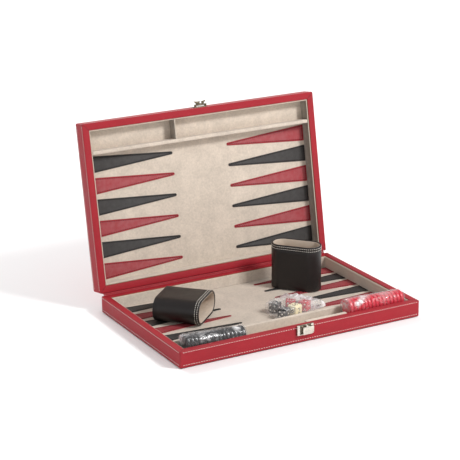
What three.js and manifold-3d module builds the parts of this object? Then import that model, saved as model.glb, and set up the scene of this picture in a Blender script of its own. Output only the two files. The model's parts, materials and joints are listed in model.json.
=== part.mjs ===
// A backgammon set in a folding leather-covered case, in millimetres, +Z up.
// The origin is the centre of the case's underside. +X runs along the long side to the right,
// -Y faces the player and holds the latch, and the lid is hinged along the rear long side.
// The case is two equal shallow trays: boards and a panel under leather, lined with suede,
// with a rail that makes a long trough for the checkers. It stands open, with its contents in it.

import * as THREE from 'three';
import { RoundedBoxGeometry } from 'three/addons/geometries/RoundedBoxGeometry.js';
import { mergeVertices } from 'three/addons/utils/BufferGeometryUtils.js';
import Module from 'manifold-3d';

const wasm = await Module();
wasm.setup();

// ---- driving dimensions ------------------------------------------------------------------------

const caseLength = 380; // along X, over the leather
const caseDepth = 244; // along Y, over the leather
const trayHeight = 23.2; // outer panel to rim, each tray
const cornerRadius = 2.5; // the upright corners
const edgeRadius = 1.2; // the outer panel's edges

const glueGap = 0.3; // between any two pieces that lie on each other
const leather = 0.8; // the cover's thickness
const board = 9.1; // the four wall boards
const panel = 3; // the tray's bottom panel
const suede = 0.8; // the floor lining
const liningBoard = 1.7; // the suede-covered boards on the walls
const liningDrop = 1.2; // the lining's top edge below the rim
const underside = 0.7; // the black backing sheet under the base
const undersideInset = 2;

const troughClearance = 3.5; // the trough is this much wider than a checker
const railThickness = 5.2;
const dividerThickness = 2.4; // across the lid's trough
const dividerX = -44.4;
const latchBlockLength = 66; // the covered block behind the latch
const latchBlockDepth = 6;
const latchBlockClearance = 7; // between it and the red checkers
const latchBlockDrop = 0.5; // its top below the rim

const pointsPerSide = 6;
const pointLength = 132.5;
const pointGap = 6.4; // between neighbouring points at the side wall
const pointTipRadius = 2.2;
const pointThickness = 0.6;

const hingeBehind = 1.6; // the hinge's axis behind the rear faces
const hingeAbove = 1; // and above the base's rim
const hingeEndGap = 5; // the strip stops this far from both ends
const hingeBeadRadius = 1.2;
const hingeFlapHeight = 12;
const hingeFlapDrop = 1; // the flap's edge below its rim
const lidAngle = 100; // degrees from closed, as it stands

const latchWidth = 25.6;
const latchHeight = 14.2;
const latchProud = 4.4; // the slider's face beyond the leather
const latchAboveRim = 2.4;
const latchPlateThickness = 0.8;
const latchTabWidth = 3.8;
const latchTabProud = 3.2;
const sliderTravel = 4.2;
const sliderStop = 0.6; // between the button, slid fully left, and the tab
const sliderNotch = 2.4;
const latchLip = 0.9; // the case's lower lip
const latchChannel = 3.2; // the hasp's seat above the button
const latchSeatThickness = 0.6;
const latchCornerWidth = 3.6; // the case's raised upper right corner
const postProud = 5.6;
const postWidth = 2.2;
const postHeight = 2;
const postDrop = 0.4; // its top below the latch's
const postX = 1.2;

const haspPivotOut = 3.8; // the hasp's pin beyond the leather
const haspPivotBelowRim = 2.2;
const haspKnuckleRadius = 1.2;
const haspPinRadius = 0.5;
const haspBore = 0.75;
const haspLeafWidth = 19.6;
const haspLeafHeight = 10;
const haspLeafThickness = 0.8;
const haspRootWidth = 12.6;
const haspTipWidth = 20.6;
const haspReach = 6;
const haspPlateThickness = 0.9;
const haspHoleClearance = 0.6; // the hole is this much larger than the post
const haspEarDepth = 0.9; // the notch between the two ears
const knuckleGap = 0.4;

const cupWidth = 75.5;
const cupThickness = 35;
const cupHeight = 68;
const cupWall = 2;
const cupFloor = 2.2;
const cupLining = 1;
const cupLiningDrop = 0.8; // the lining's edge below the mouth
const standingCup = { fromRight: 83.8, fromBack: 55.1, turn: -50 }; // its middle; its long axis from +X
const lyingCup = { fromLeft: 49.2, fromBack: 56.3, turn: -46.5 }; // its foot; where its mouth points

const checkerDiameter = 25;
const checkerThickness = 6;
const checkersPerStack = 15;
const checkerGroove = 0.8; // depth of the rounding between two checkers
const blackStack = { fromLeft: 6.5, leftLift: 5, rightLift: 0.6 }; // how far its ends stand up
const redStack = { fromRight: 3.8, leftLift: 6.4, rightLift: 4.4 };

const dieSize = 14;
const doublingCubeSize = 15;
const dieRounding = 1.6;
const bagFilm = 0.4;
const bagGap = 0.3; // between the film and the dice
const bagHeadroom = 7; // above the doubling cube
const bagTailHeight = 13;
const bagPlace = { x: 34, beforeMiddle: 47.8 }; // its middle, from the middle of the playing board

// ---- places worked out from them ---------------------------------------------------------------

const rimWidth = leather + glueGap + board;
const liningInner = rimWidth + glueGap + liningBoard; // outer face to the lining's inner face
const panelBottom = leather + glueGap;
const frameBottom = panelBottom + panel + glueGap;
const frameTop = trayHeight - leather - glueGap;
const floorLevel = frameBottom + suede; // the top of the floor lining, in a tray
const liningTop = trayHeight - liningDrop;
const fittingBottom = floorLevel + glueGap;
const pointTop = fittingBottom + pointThickness;

const baseLift = underside + glueGap; // the base tray stands on its backing sheet
const rimHeight = baseLift + trayHeight;
const hingeY = caseDepth / 2 + hingeBehind;
const hingeZ = rimHeight + hingeAbove;
const contentsLevel = baseLift + pointTop + glueGap; // loose pieces lie here

const troughWidth = checkerDiameter + troughClearance;
const troughFront = -caseDepth / 2 + liningInner;
const railFront = troughFront + troughWidth;
const railBack = railFront + railThickness;
const boardBack = caseDepth / 2 - liningInner;
const pointPitch = (boardBack - railBack) / pointsPerSide;
const pointWidth = pointPitch - pointGap;
const sideInner = caseLength / 2 - liningInner;
const troughMiddle = (troughFront + railFront) / 2;
const stackLength = checkersPerStack * checkerThickness;
const blackStackLeft = blackStack.fromLeft - sideInner;
const redStackLeft = sideInner - redStack.fromRight - stackLength;
const sliderWidth = latchWidth - latchTabWidth - sliderTravel - sliderStop;

const degrees = Math.PI / 180;

// ---- finishes ----------------------------------------------------------------------------------

const finish = (color, roughness, metalness = 0) =>
  new THREE.MeshStandardMaterial({ color, roughness, metalness });

const redLeather = finish(0xac3741, 0.5);
const charcoalLeather = finish(0x3a3634, 0.5);
const cupLeather = finish(0x2c2422, 0.4);
const suedeLining = finish(0xd5c8b8, 0.95);
const woodBoard = finish(0xb89468, 0.8);
const blackBacking = finish(0x1a1918, 0.9);
const nickel = finish(0xc9c6c0, 0.25, 1);
const ivory = finish(0xefe3b8, 0.35);
const blackPlastic = finish(0x1d1c1e, 0.2);
const redPlastic = finish(0xd02a44, 0.2);
const clearFilm = new THREE.MeshStandardMaterial({
  color: 0xf4f2f0, roughness: 0.1, transparent: true, opacity: 0.3,
});

// ---- joining and cutting -----------------------------------------------------------------------

// A closed three.js geometry as a manifold solid.
function solid(geometry) {
  const plain = geometry.index ? geometry.toNonIndexed() : geometry.clone();
  for (const name of Object.keys(plain.attributes)) {
    if (name !== 'position') plain.deleteAttribute(name);
  }
  const merged = mergeVertices(plain, 1e-4);
  return new wasm.Manifold(new wasm.Mesh({
    numProp: 3,
    vertProperties: new Float32Array(merged.attributes.position.array),
    triVerts: new Uint32Array(merged.index.array),
  }));
}

// A manifold solid as a three.js geometry.
function geometryOf(body) {
  const { vertProperties, triVerts } = body.getMesh();
  const geometry = new THREE.BufferGeometry();
  geometry.setAttribute('position', new THREE.BufferAttribute(vertProperties, 3));
  geometry.setIndex(new THREE.BufferAttribute(triVerts, 1));
  geometry.computeVertexNormals();
  return geometry;
}

// ---- shapes ------------------------------------------------------------------------------------

// A rectangle about the origin with round corners.
function roundedRectangle(width, depth, radius) {
  const shape = new THREE.Shape();
  const x = width / 2 - radius;
  const y = depth / 2 - radius;
  shape.absarc(x, y, radius, 0, 90 * degrees);
  shape.absarc(-x, y, radius, 90 * degrees, 180 * degrees);
  shape.absarc(-x, -y, radius, 180 * degrees, 270 * degrees);
  shape.absarc(x, -y, radius, 270 * degrees, 360 * degrees);
  shape.closePath();
  return shape;
}

// An outline raised from one height to another.
function raised(shape, bottom, top, curveSegments = 2) {
  const geometry = new THREE.ExtrudeGeometry(shape, {
    depth: top - bottom, bevelEnabled: false, curveSegments,
  });
  return geometry.translate(0, 0, bottom);
}

// A block between two corners.
function block(x0, x1, y0, y1, z0, z1) {
  const geometry = new THREE.BoxGeometry(x1 - x0, y1 - y0, z1 - z0);
  return geometry.translate((x0 + x1) / 2, (y0 + y1) / 2, (z0 + z1) / 2);
}

// A ring between two insets from the case's outer faces.
function wallRing(outerInset, innerInset, bottom, top, outerRadius = 0.4) {
  const outline = (inset, radius) =>
    roundedRectangle(caseLength - 2 * inset, caseDepth - 2 * inset, radius);
  const shape = outline(outerInset, outerRadius);
  shape.holes.push(outline(innerInset, 0.4));
  return raised(shape, bottom, top, 1);
}

// A cylinder along X, about a line at y and z.
function rodAlongX(radius, x0, x1, y, z, sides = 16) {
  const geometry = new THREE.CylinderGeometry(radius, radius, x1 - x0, sides);
  return geometry.rotateZ(90 * degrees).translate((x0 + x1) / 2, y, z);
}

function piece(name, geometry, material) {
  const mesh = new THREE.Mesh(geometry, material);
  mesh.name = name;
  return mesh;
}

// ---- a tray ------------------------------------------------------------------------------------
// Each tray is made lying on its outer panel, opening up, with its trough at -Y.

// The leather skin: the outer panel, the four sides and the rim, in one sheet.
function coverSkin() {
  const straight = trayHeight - edgeRadius;
  const outline = roundedRectangle(
    caseLength - 2 * edgeRadius, caseDepth - 2 * edgeRadius, cornerRadius - edgeRadius);
  const outer = solid(new THREE.ExtrudeGeometry(outline, {
    depth: straight, bevelThickness: edgeRadius, bevelSize: edgeRadius, bevelSegments: 2,
    curveSegments: 2,
  }).translate(0, 0, edgeRadius));
  const flatRim = solid(block(-caseLength, caseLength, -caseDepth, caseDepth, trayHeight, 2 * trayHeight));
  const filling = solid(raised(
    roundedRectangle(caseLength - 2 * leather, caseDepth - 2 * leather, cornerRadius - leather),
    leather, trayHeight - leather));
  const mouth = solid(raised(
    roundedRectangle(caseLength - 2 * rimWidth, caseDepth - 2 * rimWidth, 0.4), leather, 2 * trayHeight));
  return geometryOf(outer.subtract(flatRim).subtract(filling).subtract(mouth));
}

// The appliqué's outline: straight sides tangent to a round tip, pointing along +X.
function pointOutline() {
  const half = pointWidth / 2;
  const tipCentre = pointLength - pointTipRadius;
  const reach = Math.hypot(tipCentre, half);
  const slope = Math.atan2(half, tipCentre) - Math.asin(pointTipRadius / reach);
  const touch = 90 * degrees - slope;
  const shape = new THREE.Shape();
  shape.moveTo(0, half);
  shape.lineTo(0, -half);
  shape.absarc(tipCentre, 0, pointTipRadius, -touch, touch);
  shape.closePath();
  return shape;
}

// Twelve leather points, six from each short side; the colours alternate from the hinge on.
// A tray that is turned by half a turn once it is made has its left side at +X.
function points(prefix, leftFirst, rightFirst, turned) {
  const geometry = raised(pointOutline(), fittingBottom, pointTop, 3);
  const sides = [
    { name: 'left', atPlusX: turned, first: leftFirst },
    { name: 'right', atPlusX: !turned, first: rightFirst },
  ];
  const meshes = [];
  for (const side of sides) {
    for (let index = 0; index < pointsPerSide; index += 1) {
      const other = side.first === redLeather ? charcoalLeather : redLeather;
      const material = index % 2 === 0 ? side.first : other;
      const mesh = piece(`${prefix}_point_${side.name}_${index + 1}`, geometry, material);
      const x = (side.atPlusX ? 1 : -1) * (sideInner - glueGap);
      mesh.position.set(x, boardBack - (index + 0.5) * pointPitch, 0);
      mesh.rotation.z = side.atPlusX ? 180 * degrees : 0;
      meshes.push(mesh);
    }
  }
  return meshes;
}

function railGeometry() {
  const end = sideInner - glueGap;
  return block(-end, end, railFront, railBack, fittingBottom, liningTop);
}

function tray(prefix, leftFirst, rightFirst, turned) {
  const group = new THREE.Group();
  const inset = leather + glueGap;
  const bottomOutline = roundedRectangle(
    caseLength - 2 * inset, caseDepth - 2 * inset, cornerRadius - leather);
  const floorInset = rimWidth + glueGap;
  const floorOutline = roundedRectangle(caseLength - 2 * floorInset, caseDepth - 2 * floorInset, 0.4);
  group.add(
    piece(`${prefix}_cover`, coverSkin(), redLeather),
    piece(`${prefix}_panel`, raised(bottomOutline, panelBottom, panelBottom + panel), woodBoard),
    piece(`${prefix}_frame`,
      wallRing(inset, rimWidth, frameBottom, frameTop, cornerRadius - leather), woodBoard),
    piece(`${prefix}_floor_lining`, raised(floorOutline, frameBottom, floorLevel), suedeLining),
    piece(`${prefix}_wall_lining`,
      wallRing(floorInset, liningInner, fittingBottom, liningTop), suedeLining),
    piece(`${prefix}_rail`, railGeometry(), suedeLining),
    ...points(prefix, leftFirst, rightFirst, turned),
  );
  return group;
}

// ---- the base ----------------------------------------------------------------------------------

function backingSheet() {
  const outline = roundedRectangle(caseLength - 2 * undersideInset, caseDepth - 2 * undersideInset, 1);
  return piece('base_underside', raised(outline, 0, underside), blackBacking);
}

function latchBlock() {
  const x0 = redStackLeft - latchBlockClearance - latchBlockLength;
  const y0 = troughFront + glueGap;
  return piece('base_latch_block', block(
    x0, x0 + latchBlockLength, y0, y0 + latchBlockDepth,
    baseLift + fittingBottom, rimHeight - latchBlockDrop), suedeLining);
}

// ---- the latch, on the base's front face -------------------------------------------------------

const latchTop = rimHeight + latchAboveRim;
const latchBottom = latchTop - latchHeight;
const frontFace = -caseDepth / 2;
const latchPlateFront = frontFace - glueGap - latchPlateThickness;
const latchFace = frontFace - latchProud;
const latchLeft = -latchWidth / 2;
const latchRight = latchWidth / 2;

function latchPlate() {
  return piece('latch_plate', block(
    latchLeft, latchRight, latchPlateFront, frontFace - glueGap, latchBottom, latchTop), nickel);
}

// The button's channel: a tab at the left, a lip below, and above it the hasp's seat with its post
// and a raised corner.
function latchCase() {
  const back = latchPlateFront - glueGap;
  const lipFront = frontFace - latchTabProud;
  const seat = latchTop - latchChannel;
  const tab = block(latchLeft, latchLeft + latchTabWidth, lipFront, back, latchBottom, latchTop);
  const lip = block(latchLeft, latchRight, lipFront, back, latchBottom, latchBottom + latchLip);
  const floor = block(latchLeft, latchRight, back - latchSeatThickness, back, seat, latchTop);
  const corner = block(latchRight - latchCornerWidth, latchRight, lipFront, back, seat, latchTop);
  const postTop = latchTop - postDrop;
  const post = block(
    postX - postWidth / 2, postX + postWidth / 2, frontFace - postProud, back, postTop - postHeight, postTop);
  const whole = [lip, floor, corner, post].reduce((joined, next) => joined.add(solid(next)), solid(tab));
  return piece('latch_case', geometryOf(whole), nickel);
}

// The button that slides to the left and frees the hasp, with a notch at its lower right.
function latchSlider() {
  const back = latchPlateFront - glueGap;
  const lipFront = frontFace - latchTabProud;
  const top = latchTop - latchChannel - glueGap;
  const inner = solid(block(
    latchRight - sliderWidth, latchRight, lipFront - glueGap, back, latchBottom + latchLip + glueGap, top));
  const face = solid(block(
    latchRight - sliderWidth, latchRight, latchFace, lipFront - glueGap, latchBottom, top));
  const notch = solid(block(
    latchRight - sliderNotch, latchRight + 1, latchFace - 1, lipFront,
    latchBottom - 1, latchBottom + sliderNotch));
  return piece('latch_slider', geometryOf(face.add(inner).subtract(notch)), nickel);
}

// ---- the hasp, on the lid's front face ---------------------------------------------------------
// Made about its own pin, which lies along X at the origin: +Y points away from the lid's face
// and +Z beyond the lid's rim.

function haspLeaf() {
  const back = glueGap - haspPivotOut;
  const edge = haspPivotBelowRim - 1;
  const plate = solid(block(
    -haspLeafWidth / 2, haspLeafWidth / 2, back, back + haspLeafThickness, edge - haspLeafHeight, edge));
  let body = plate;
  const inner = haspRootWidth / 2 + knuckleGap;
  const outer = haspLeafWidth / 2;
  for (const side of [-1, 1]) {
    const x0 = Math.min(side * inner, side * outer);
    const x1 = Math.max(side * inner, side * outer);
    const knuckle = solid(rodAlongX(haspKnuckleRadius, x0, x1, 0, 0));
    const web = solid(block(x0, x1, back, 0, -haspKnuckleRadius, 0));
    body = body.add(web).add(knuckle);
  }
  return piece('hasp_leaf', geometryOf(body.subtract(
    solid(rodAlongX(haspBore, -haspLeafWidth, haspLeafWidth, 0, 0)))), nickel);
}

function haspPin() {
  const half = haspLeafWidth / 2;
  return piece('hasp_pin', rodAlongX(haspPinRadius, -half, half, 0, 0, 12), nickel);
}

// The swinging plate, standing straight out: narrow at its knuckle, two ears at its far end,
// and a hole that drops over the latch's post. With the case closed the two rims are apart by
// twice the hinge's height above them.
function haspPlate() {
  const root = haspRootWidth / 2;
  const tip = haspTipWidth / 2;
  const ear = tip * 0.45;
  const neck = haspKnuckleRadius + knuckleGap; // the flare starts clear of the leaf's knuckles
  const outline = new THREE.Shape([
    new THREE.Vector2(-root, 0),
    new THREE.Vector2(root, 0),
    new THREE.Vector2(root, neck),
    new THREE.Vector2(tip, haspReach),
    new THREE.Vector2(tip - haspEarDepth, haspReach),
    new THREE.Vector2(ear, haspReach - haspEarDepth),
    new THREE.Vector2(-ear, haspReach - haspEarDepth),
    new THREE.Vector2(haspEarDepth - tip, haspReach),
    new THREE.Vector2(-tip, haspReach),
    new THREE.Vector2(-root, neck),
  ]);
  const bottom = -haspKnuckleRadius - haspPlateThickness / 2;
  const plate = solid(raised(outline, bottom, bottom + haspPlateThickness));
  const knuckle = solid(rodAlongX(haspKnuckleRadius, -root, root, 0, 0));
  const pivotAboveRim = 2 * hingeAbove + haspPivotBelowRim;
  const middle = pivotAboveRim - latchAboveRim + postDrop + postHeight / 2;
  const acrossHalf = (postWidth + haspHoleClearance) / 2;
  const alongHalf = (postHeight + haspHoleClearance) / 2;
  const hole = solid(block(
    postX - acrossHalf, postX + acrossHalf, middle - alongHalf, middle + alongHalf, bottom - 1, 1));
  const bore = solid(rodAlongX(haspBore, -root - 1, root + 1, 0, 0));
  return piece('hasp_plate', geometryOf(plate.add(knuckle).subtract(hole).subtract(bore)), nickel);
}

// ---- the hinge ---------------------------------------------------------------------------------
// A leather strip along both rear faces, folded to a bead on the hinge's axis.

const hingeHalf = caseLength / 2 - hingeEndGap;

function hingeFlap(name, y0, rim) {
  return piece(name, block(
    -hingeHalf, hingeHalf, y0, y0 + leather, rim - hingeFlapHeight, rim - hingeFlapDrop), redLeather);
}

function hingeBead() {
  const bead = rodAlongX(hingeBeadRadius, -hingeHalf, hingeHalf, hingeY, hingeZ, 12);
  return piece('hinge_bead', bead, redLeather);
}

// ---- the dice cups -----------------------------------------------------------------------------

const cupCurve = 3; // fineness of the round ends

// The cup's oval section: two half circles joined by straight sides.
function oval(width, thickness) {
  return roundedRectangle(width, thickness, thickness / 2 - 0.01);
}

// A cup standing on its foot about the origin: a stiff leather shell, and a suede lining in it.
function cup(name) {
  const group = new THREE.Group();
  const shellInside = solid(raised(
    oval(cupWidth - 2 * cupWall, cupThickness - 2 * cupWall), cupFloor, 2 * cupHeight, cupCurve));
  const shell = solid(raised(oval(cupWidth, cupThickness), 0, cupHeight, cupCurve)).subtract(shellInside);
  const liningOut = cupWall + glueGap;
  const liningIn = liningOut + cupLining;
  const liningBottom = cupFloor + glueGap;
  const liningInside = solid(raised(
    oval(cupWidth - 2 * liningIn, cupThickness - 2 * liningIn),
    liningBottom + cupLining, 2 * cupHeight, cupCurve));
  const lining = solid(raised(
    oval(cupWidth - 2 * liningOut, cupThickness - 2 * liningOut),
    liningBottom, cupHeight - cupLiningDrop, cupCurve)).subtract(liningInside);
  group.add(
    piece(`${name}_shell`, geometryOf(shell), cupLeather),
    piece(`${name}_lining`, geometryOf(lining), suedeLining),
  );
  return group;
}

function cups() {
  const standing = cup('standing_cup');
  standing.position.set(
    sideInner - standingCup.fromRight, boardBack - standingCup.fromBack, contentsLevel);
  standing.rotation.z = standingCup.turn * degrees;

  // On its broad side: tipped over about its own long axis, then turned to where its mouth points.
  const lying = new THREE.Group();
  const tipped = cup('lying_cup');
  tipped.rotation.set(90 * degrees, 0, 90 * degrees, 'ZYX');
  lying.add(tipped);
  lying.position.set(
    lyingCup.fromLeft - sideInner, boardBack - lyingCup.fromBack, contentsLevel + cupThickness / 2);
  lying.rotation.z = lyingCup.turn * degrees;
  return [standing, lying];
}

// ---- the checkers ------------------------------------------------------------------------------

// A stack of checkers along +X from the origin, pressed together in its film.
function checkerStack(name, leftEnd, lifts, material) {
  const radius = checkerDiameter / 2;
  const profile = [new THREE.Vector2(0, 0)];
  for (let index = 0; index < checkersPerStack; index += 1) {
    const start = index * checkerThickness;
    const end = start + checkerThickness;
    profile.push(
      new THREE.Vector2(radius - checkerGroove, start + (index === 0 ? 0 : 0.01)),
      new THREE.Vector2(radius, start + checkerGroove),
      new THREE.Vector2(radius, end - checkerGroove),
    );
    if (index === checkersPerStack - 1) profile.push(new THREE.Vector2(radius - checkerGroove, end));
  }
  profile.push(new THREE.Vector2(0, stackLength));
  const geometry = new THREE.LatheGeometry(profile, 14).rotateZ(-90 * degrees);
  const mesh = piece(name, geometryOf(solid(geometry)), material);
  const floor = baseLift + floorLevel + radius;
  mesh.position.set(leftEnd, troughMiddle, floor + lifts.leftLift);
  mesh.rotation.y = Math.atan2(lifts.leftLift - lifts.rightLift, stackLength);
  return mesh;
}

// ---- the dice ----------------------------------------------------------------------------------

const bagY = (railBack + boardBack) / 2 - bagPlace.beforeMiddle;
const dieLevel = contentsLevel + bagFilm + bagGap;

// Each die's middle, from the doubling cube's: its direction in degrees and how far it is beyond
// the place where its corner would touch the cube's corner.
const cornerTouch = (doublingCubeSize + dieSize) / Math.SQRT2;
const cubePlace = { x: -2, y: -13, turn: 20 };
const dice = [
  { name: 'die_black_1', direction: 125, beyond: 10, turn: 28, material: blackPlastic },
  { name: 'die_black_2', direction: -174.9, beyond: -1.2, turn: 40, material: blackPlastic },
  { name: 'die_red_1', direction: 72.7, beyond: 4.1, turn: 55, material: redPlastic },
  { name: 'die_red_2', direction: 24.3, beyond: 3.5, turn: 34, material: redPlastic },
];

// A cube that lies in the bag, at a place given from the bag's middle.
function cube(name, size, x, y, turn, material) {
  const mesh = piece(name, new RoundedBoxGeometry(size, size, size, 1, dieRounding), material);
  mesh.position.set(bagPlace.x + x, bagY + y, dieLevel + size / 2);
  mesh.rotation.z = turn * degrees;
  return mesh;
}

function doublingCube() {
  return cube('doubling_cube', doublingCubeSize, cubePlace.x, cubePlace.y, cubePlace.turn, ivory);
}

function die({ name, direction, beyond, turn, material }) {
  const reach = cornerTouch + beyond;
  const x = cubePlace.x + reach * Math.cos(direction * degrees);
  const y = cubePlace.y + reach * Math.sin(direction * degrees);
  return cube(name, dieSize, x, y, turn, material);
}

// The clear bag: a thin skin, high over the dice, with a low open tail drawn out to the right.
// Each corner of its body: a direction in degrees, and how far it is beyond cornerTouch.
const bagBody = [
  [-151.4, 17.1], [-135, 17.7], [-73.5, 7.7], [-25.8, 13.9], [6.9, 12.7], [49.4, 7.2], [111.8, 6.4],
  [144.6, 17.5], [166.8, 14.4],
];
const bagTailStart = cornerTouch + 9.5;
const bagTail = [[0, -12], [12, -9], [26, -5], [26, 7], [12, 8], [0, 7]]; // from where it starts
const bagMouth = 2; // the tail is open over this length at its end

// The body's outline about the bag's middle, drawn in on all sides by an amount.
function bagBodyOutline(inset) {
  return new THREE.Shape(bagBody.map(([direction, beyond]) => {
    const reach = cornerTouch + beyond;
    const x = reach * Math.cos(direction * degrees);
    const y = reach * Math.sin(direction * degrees);
    return new THREE.Vector2(x - Math.sign(x) * inset, y - Math.sign(y) * inset);
  }));
}

// The tail's outline, drawn in on all sides but its end, which is drawn out.
function bagTailOutline(inset, stretch) {
  const end = Math.max(...bagTail.map(([x]) => x));
  return new THREE.Shape(bagTail.map(([x, y]) => new THREE.Vector2(
    bagTailStart + x + (x === end ? stretch : -inset), y - Math.sign(y) * inset)));
}

function diceBag() {
  const bodyHeight = doublingCubeSize + 2 * bagFilm + bagHeadroom;
  const skin = (inset, stretch) =>
    solid(raised(bagBodyOutline(inset), inset, bodyHeight - inset))
      .add(solid(raised(bagTailOutline(inset, stretch), inset, bagTailHeight - inset)));
  const bag = geometryOf(skin(0, 0).subtract(skin(bagFilm, bagMouth)));
  return piece('dice_bag', bag.translate(bagPlace.x, bagY, contentsLevel), clearFilm);
}

// ---- the whole case, open ----------------------------------------------------------------------

const backgammonCase = new THREE.Group();

// The points are counted from the hinge towards the player.
const baseTray = tray('base', charcoalLeather, redLeather, false);
baseTray.position.z = baseLift;

const hingeRear = caseDepth / 2;
backgammonCase.add(
  backingSheet(),
  baseTray,
  latchBlock(),
  latchPlate(),
  latchCase(),
  latchSlider(),
  hingeFlap('hinge_flap_base', hingeRear + glueGap, rimHeight),
  hingeBead(),
  ...cups(),
  checkerStack('checker_stack_black', blackStackLeft, blackStack, blackPlastic),
  checkerStack('checker_stack_red', redStackLeft, redStack, redPlastic),
  doublingCube(),
  ...dice.map(die),
  diceBag(),
);

// The lid, about the hinge's axis: made lying flat and open behind the base, then raised.
const lid = new THREE.Group();
const lidTray = tray('lid', redLeather, charcoalLeather, true);
lidTray.rotation.z = 180 * degrees;
lidTray.add(piece('lid_divider', block(
  -dividerX - dividerThickness / 2, -dividerX + dividerThickness / 2,
  troughFront + glueGap, railFront - glueGap, fittingBottom, liningTop), suedeLining));

const hasp = new THREE.Group();
hasp.add(haspLeaf(), haspPin(), haspPlate());
hasp.rotation.z = 180 * degrees;
hasp.position.set(0, -caseDepth / 2 - haspPivotOut, trayHeight - haspPivotBelowRim);
lidTray.add(hasp);
lidTray.position.set(0, hingeBehind + caseDepth / 2, -hingeAbove - trayHeight);

lid.add(lidTray, hingeFlap('hinge_flap_lid', hingeBehind - glueGap - leather, -hingeAbove));
lid.position.set(0, hingeY, hingeZ);
lid.rotation.x = (180 - lidAngle) * degrees;
backgammonCase.add(lid);

export default backgammonCase;
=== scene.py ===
"""A backgammon set in a folding leather-covered case, standing open with its contents in it.

Everything is in metres in the frame's own axes: +X along the long side, -Y towards the player and
the latch, +Z up. Both trays are made lying on their outer panel with the trough at -Y, and then put
in place, so one class makes the base and the lid.
"""

import json
import logging
import math
from dataclasses import dataclass
from enum import Enum
from typing import Callable, Sequence

import bmesh
import bpy
from mathutils import Matrix, Vector, noise
from mathutils.bvhtree import BVHTree


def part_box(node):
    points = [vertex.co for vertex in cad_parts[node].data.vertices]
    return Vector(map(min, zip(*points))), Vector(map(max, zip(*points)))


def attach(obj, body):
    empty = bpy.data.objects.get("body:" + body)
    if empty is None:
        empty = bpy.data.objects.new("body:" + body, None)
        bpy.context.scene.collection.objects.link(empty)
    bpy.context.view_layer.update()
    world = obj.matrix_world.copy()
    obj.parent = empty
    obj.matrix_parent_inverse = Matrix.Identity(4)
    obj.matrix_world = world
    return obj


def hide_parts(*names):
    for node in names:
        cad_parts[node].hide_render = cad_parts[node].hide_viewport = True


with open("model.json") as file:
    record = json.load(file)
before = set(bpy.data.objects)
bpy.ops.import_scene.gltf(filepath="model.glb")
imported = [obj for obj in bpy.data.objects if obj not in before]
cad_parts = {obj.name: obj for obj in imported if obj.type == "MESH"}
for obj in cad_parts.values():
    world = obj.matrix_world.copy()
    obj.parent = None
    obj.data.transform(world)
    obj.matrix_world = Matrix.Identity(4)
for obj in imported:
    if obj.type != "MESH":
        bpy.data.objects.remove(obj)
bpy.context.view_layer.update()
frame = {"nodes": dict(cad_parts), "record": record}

LOG = logging.getLogger("backgammon_case")
MM = 0.001

Colour = tuple[float, float, float]
Profile = list[tuple[float, float]]


def linear(red: int, green: int, blue: int) -> Colour:
    """Turn a display colour into the linear one that shaders take.

    Args:
        red: Red, 0 to 255.
        green: Green, 0 to 255.
        blue: Blue, 0 to 255.

    Returns:
        The linear red, green and blue.
    """
    def channel(value: int) -> float:
        """One channel's linear value."""
        share = value / 255
        return share / 12.92 if share < 0.04045 else ((share + 0.055) / 1.055) ** 2.4

    return channel(red), channel(green), channel(blue)


# ---- shader wiring ---------------------------------------------------------------------------


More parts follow.
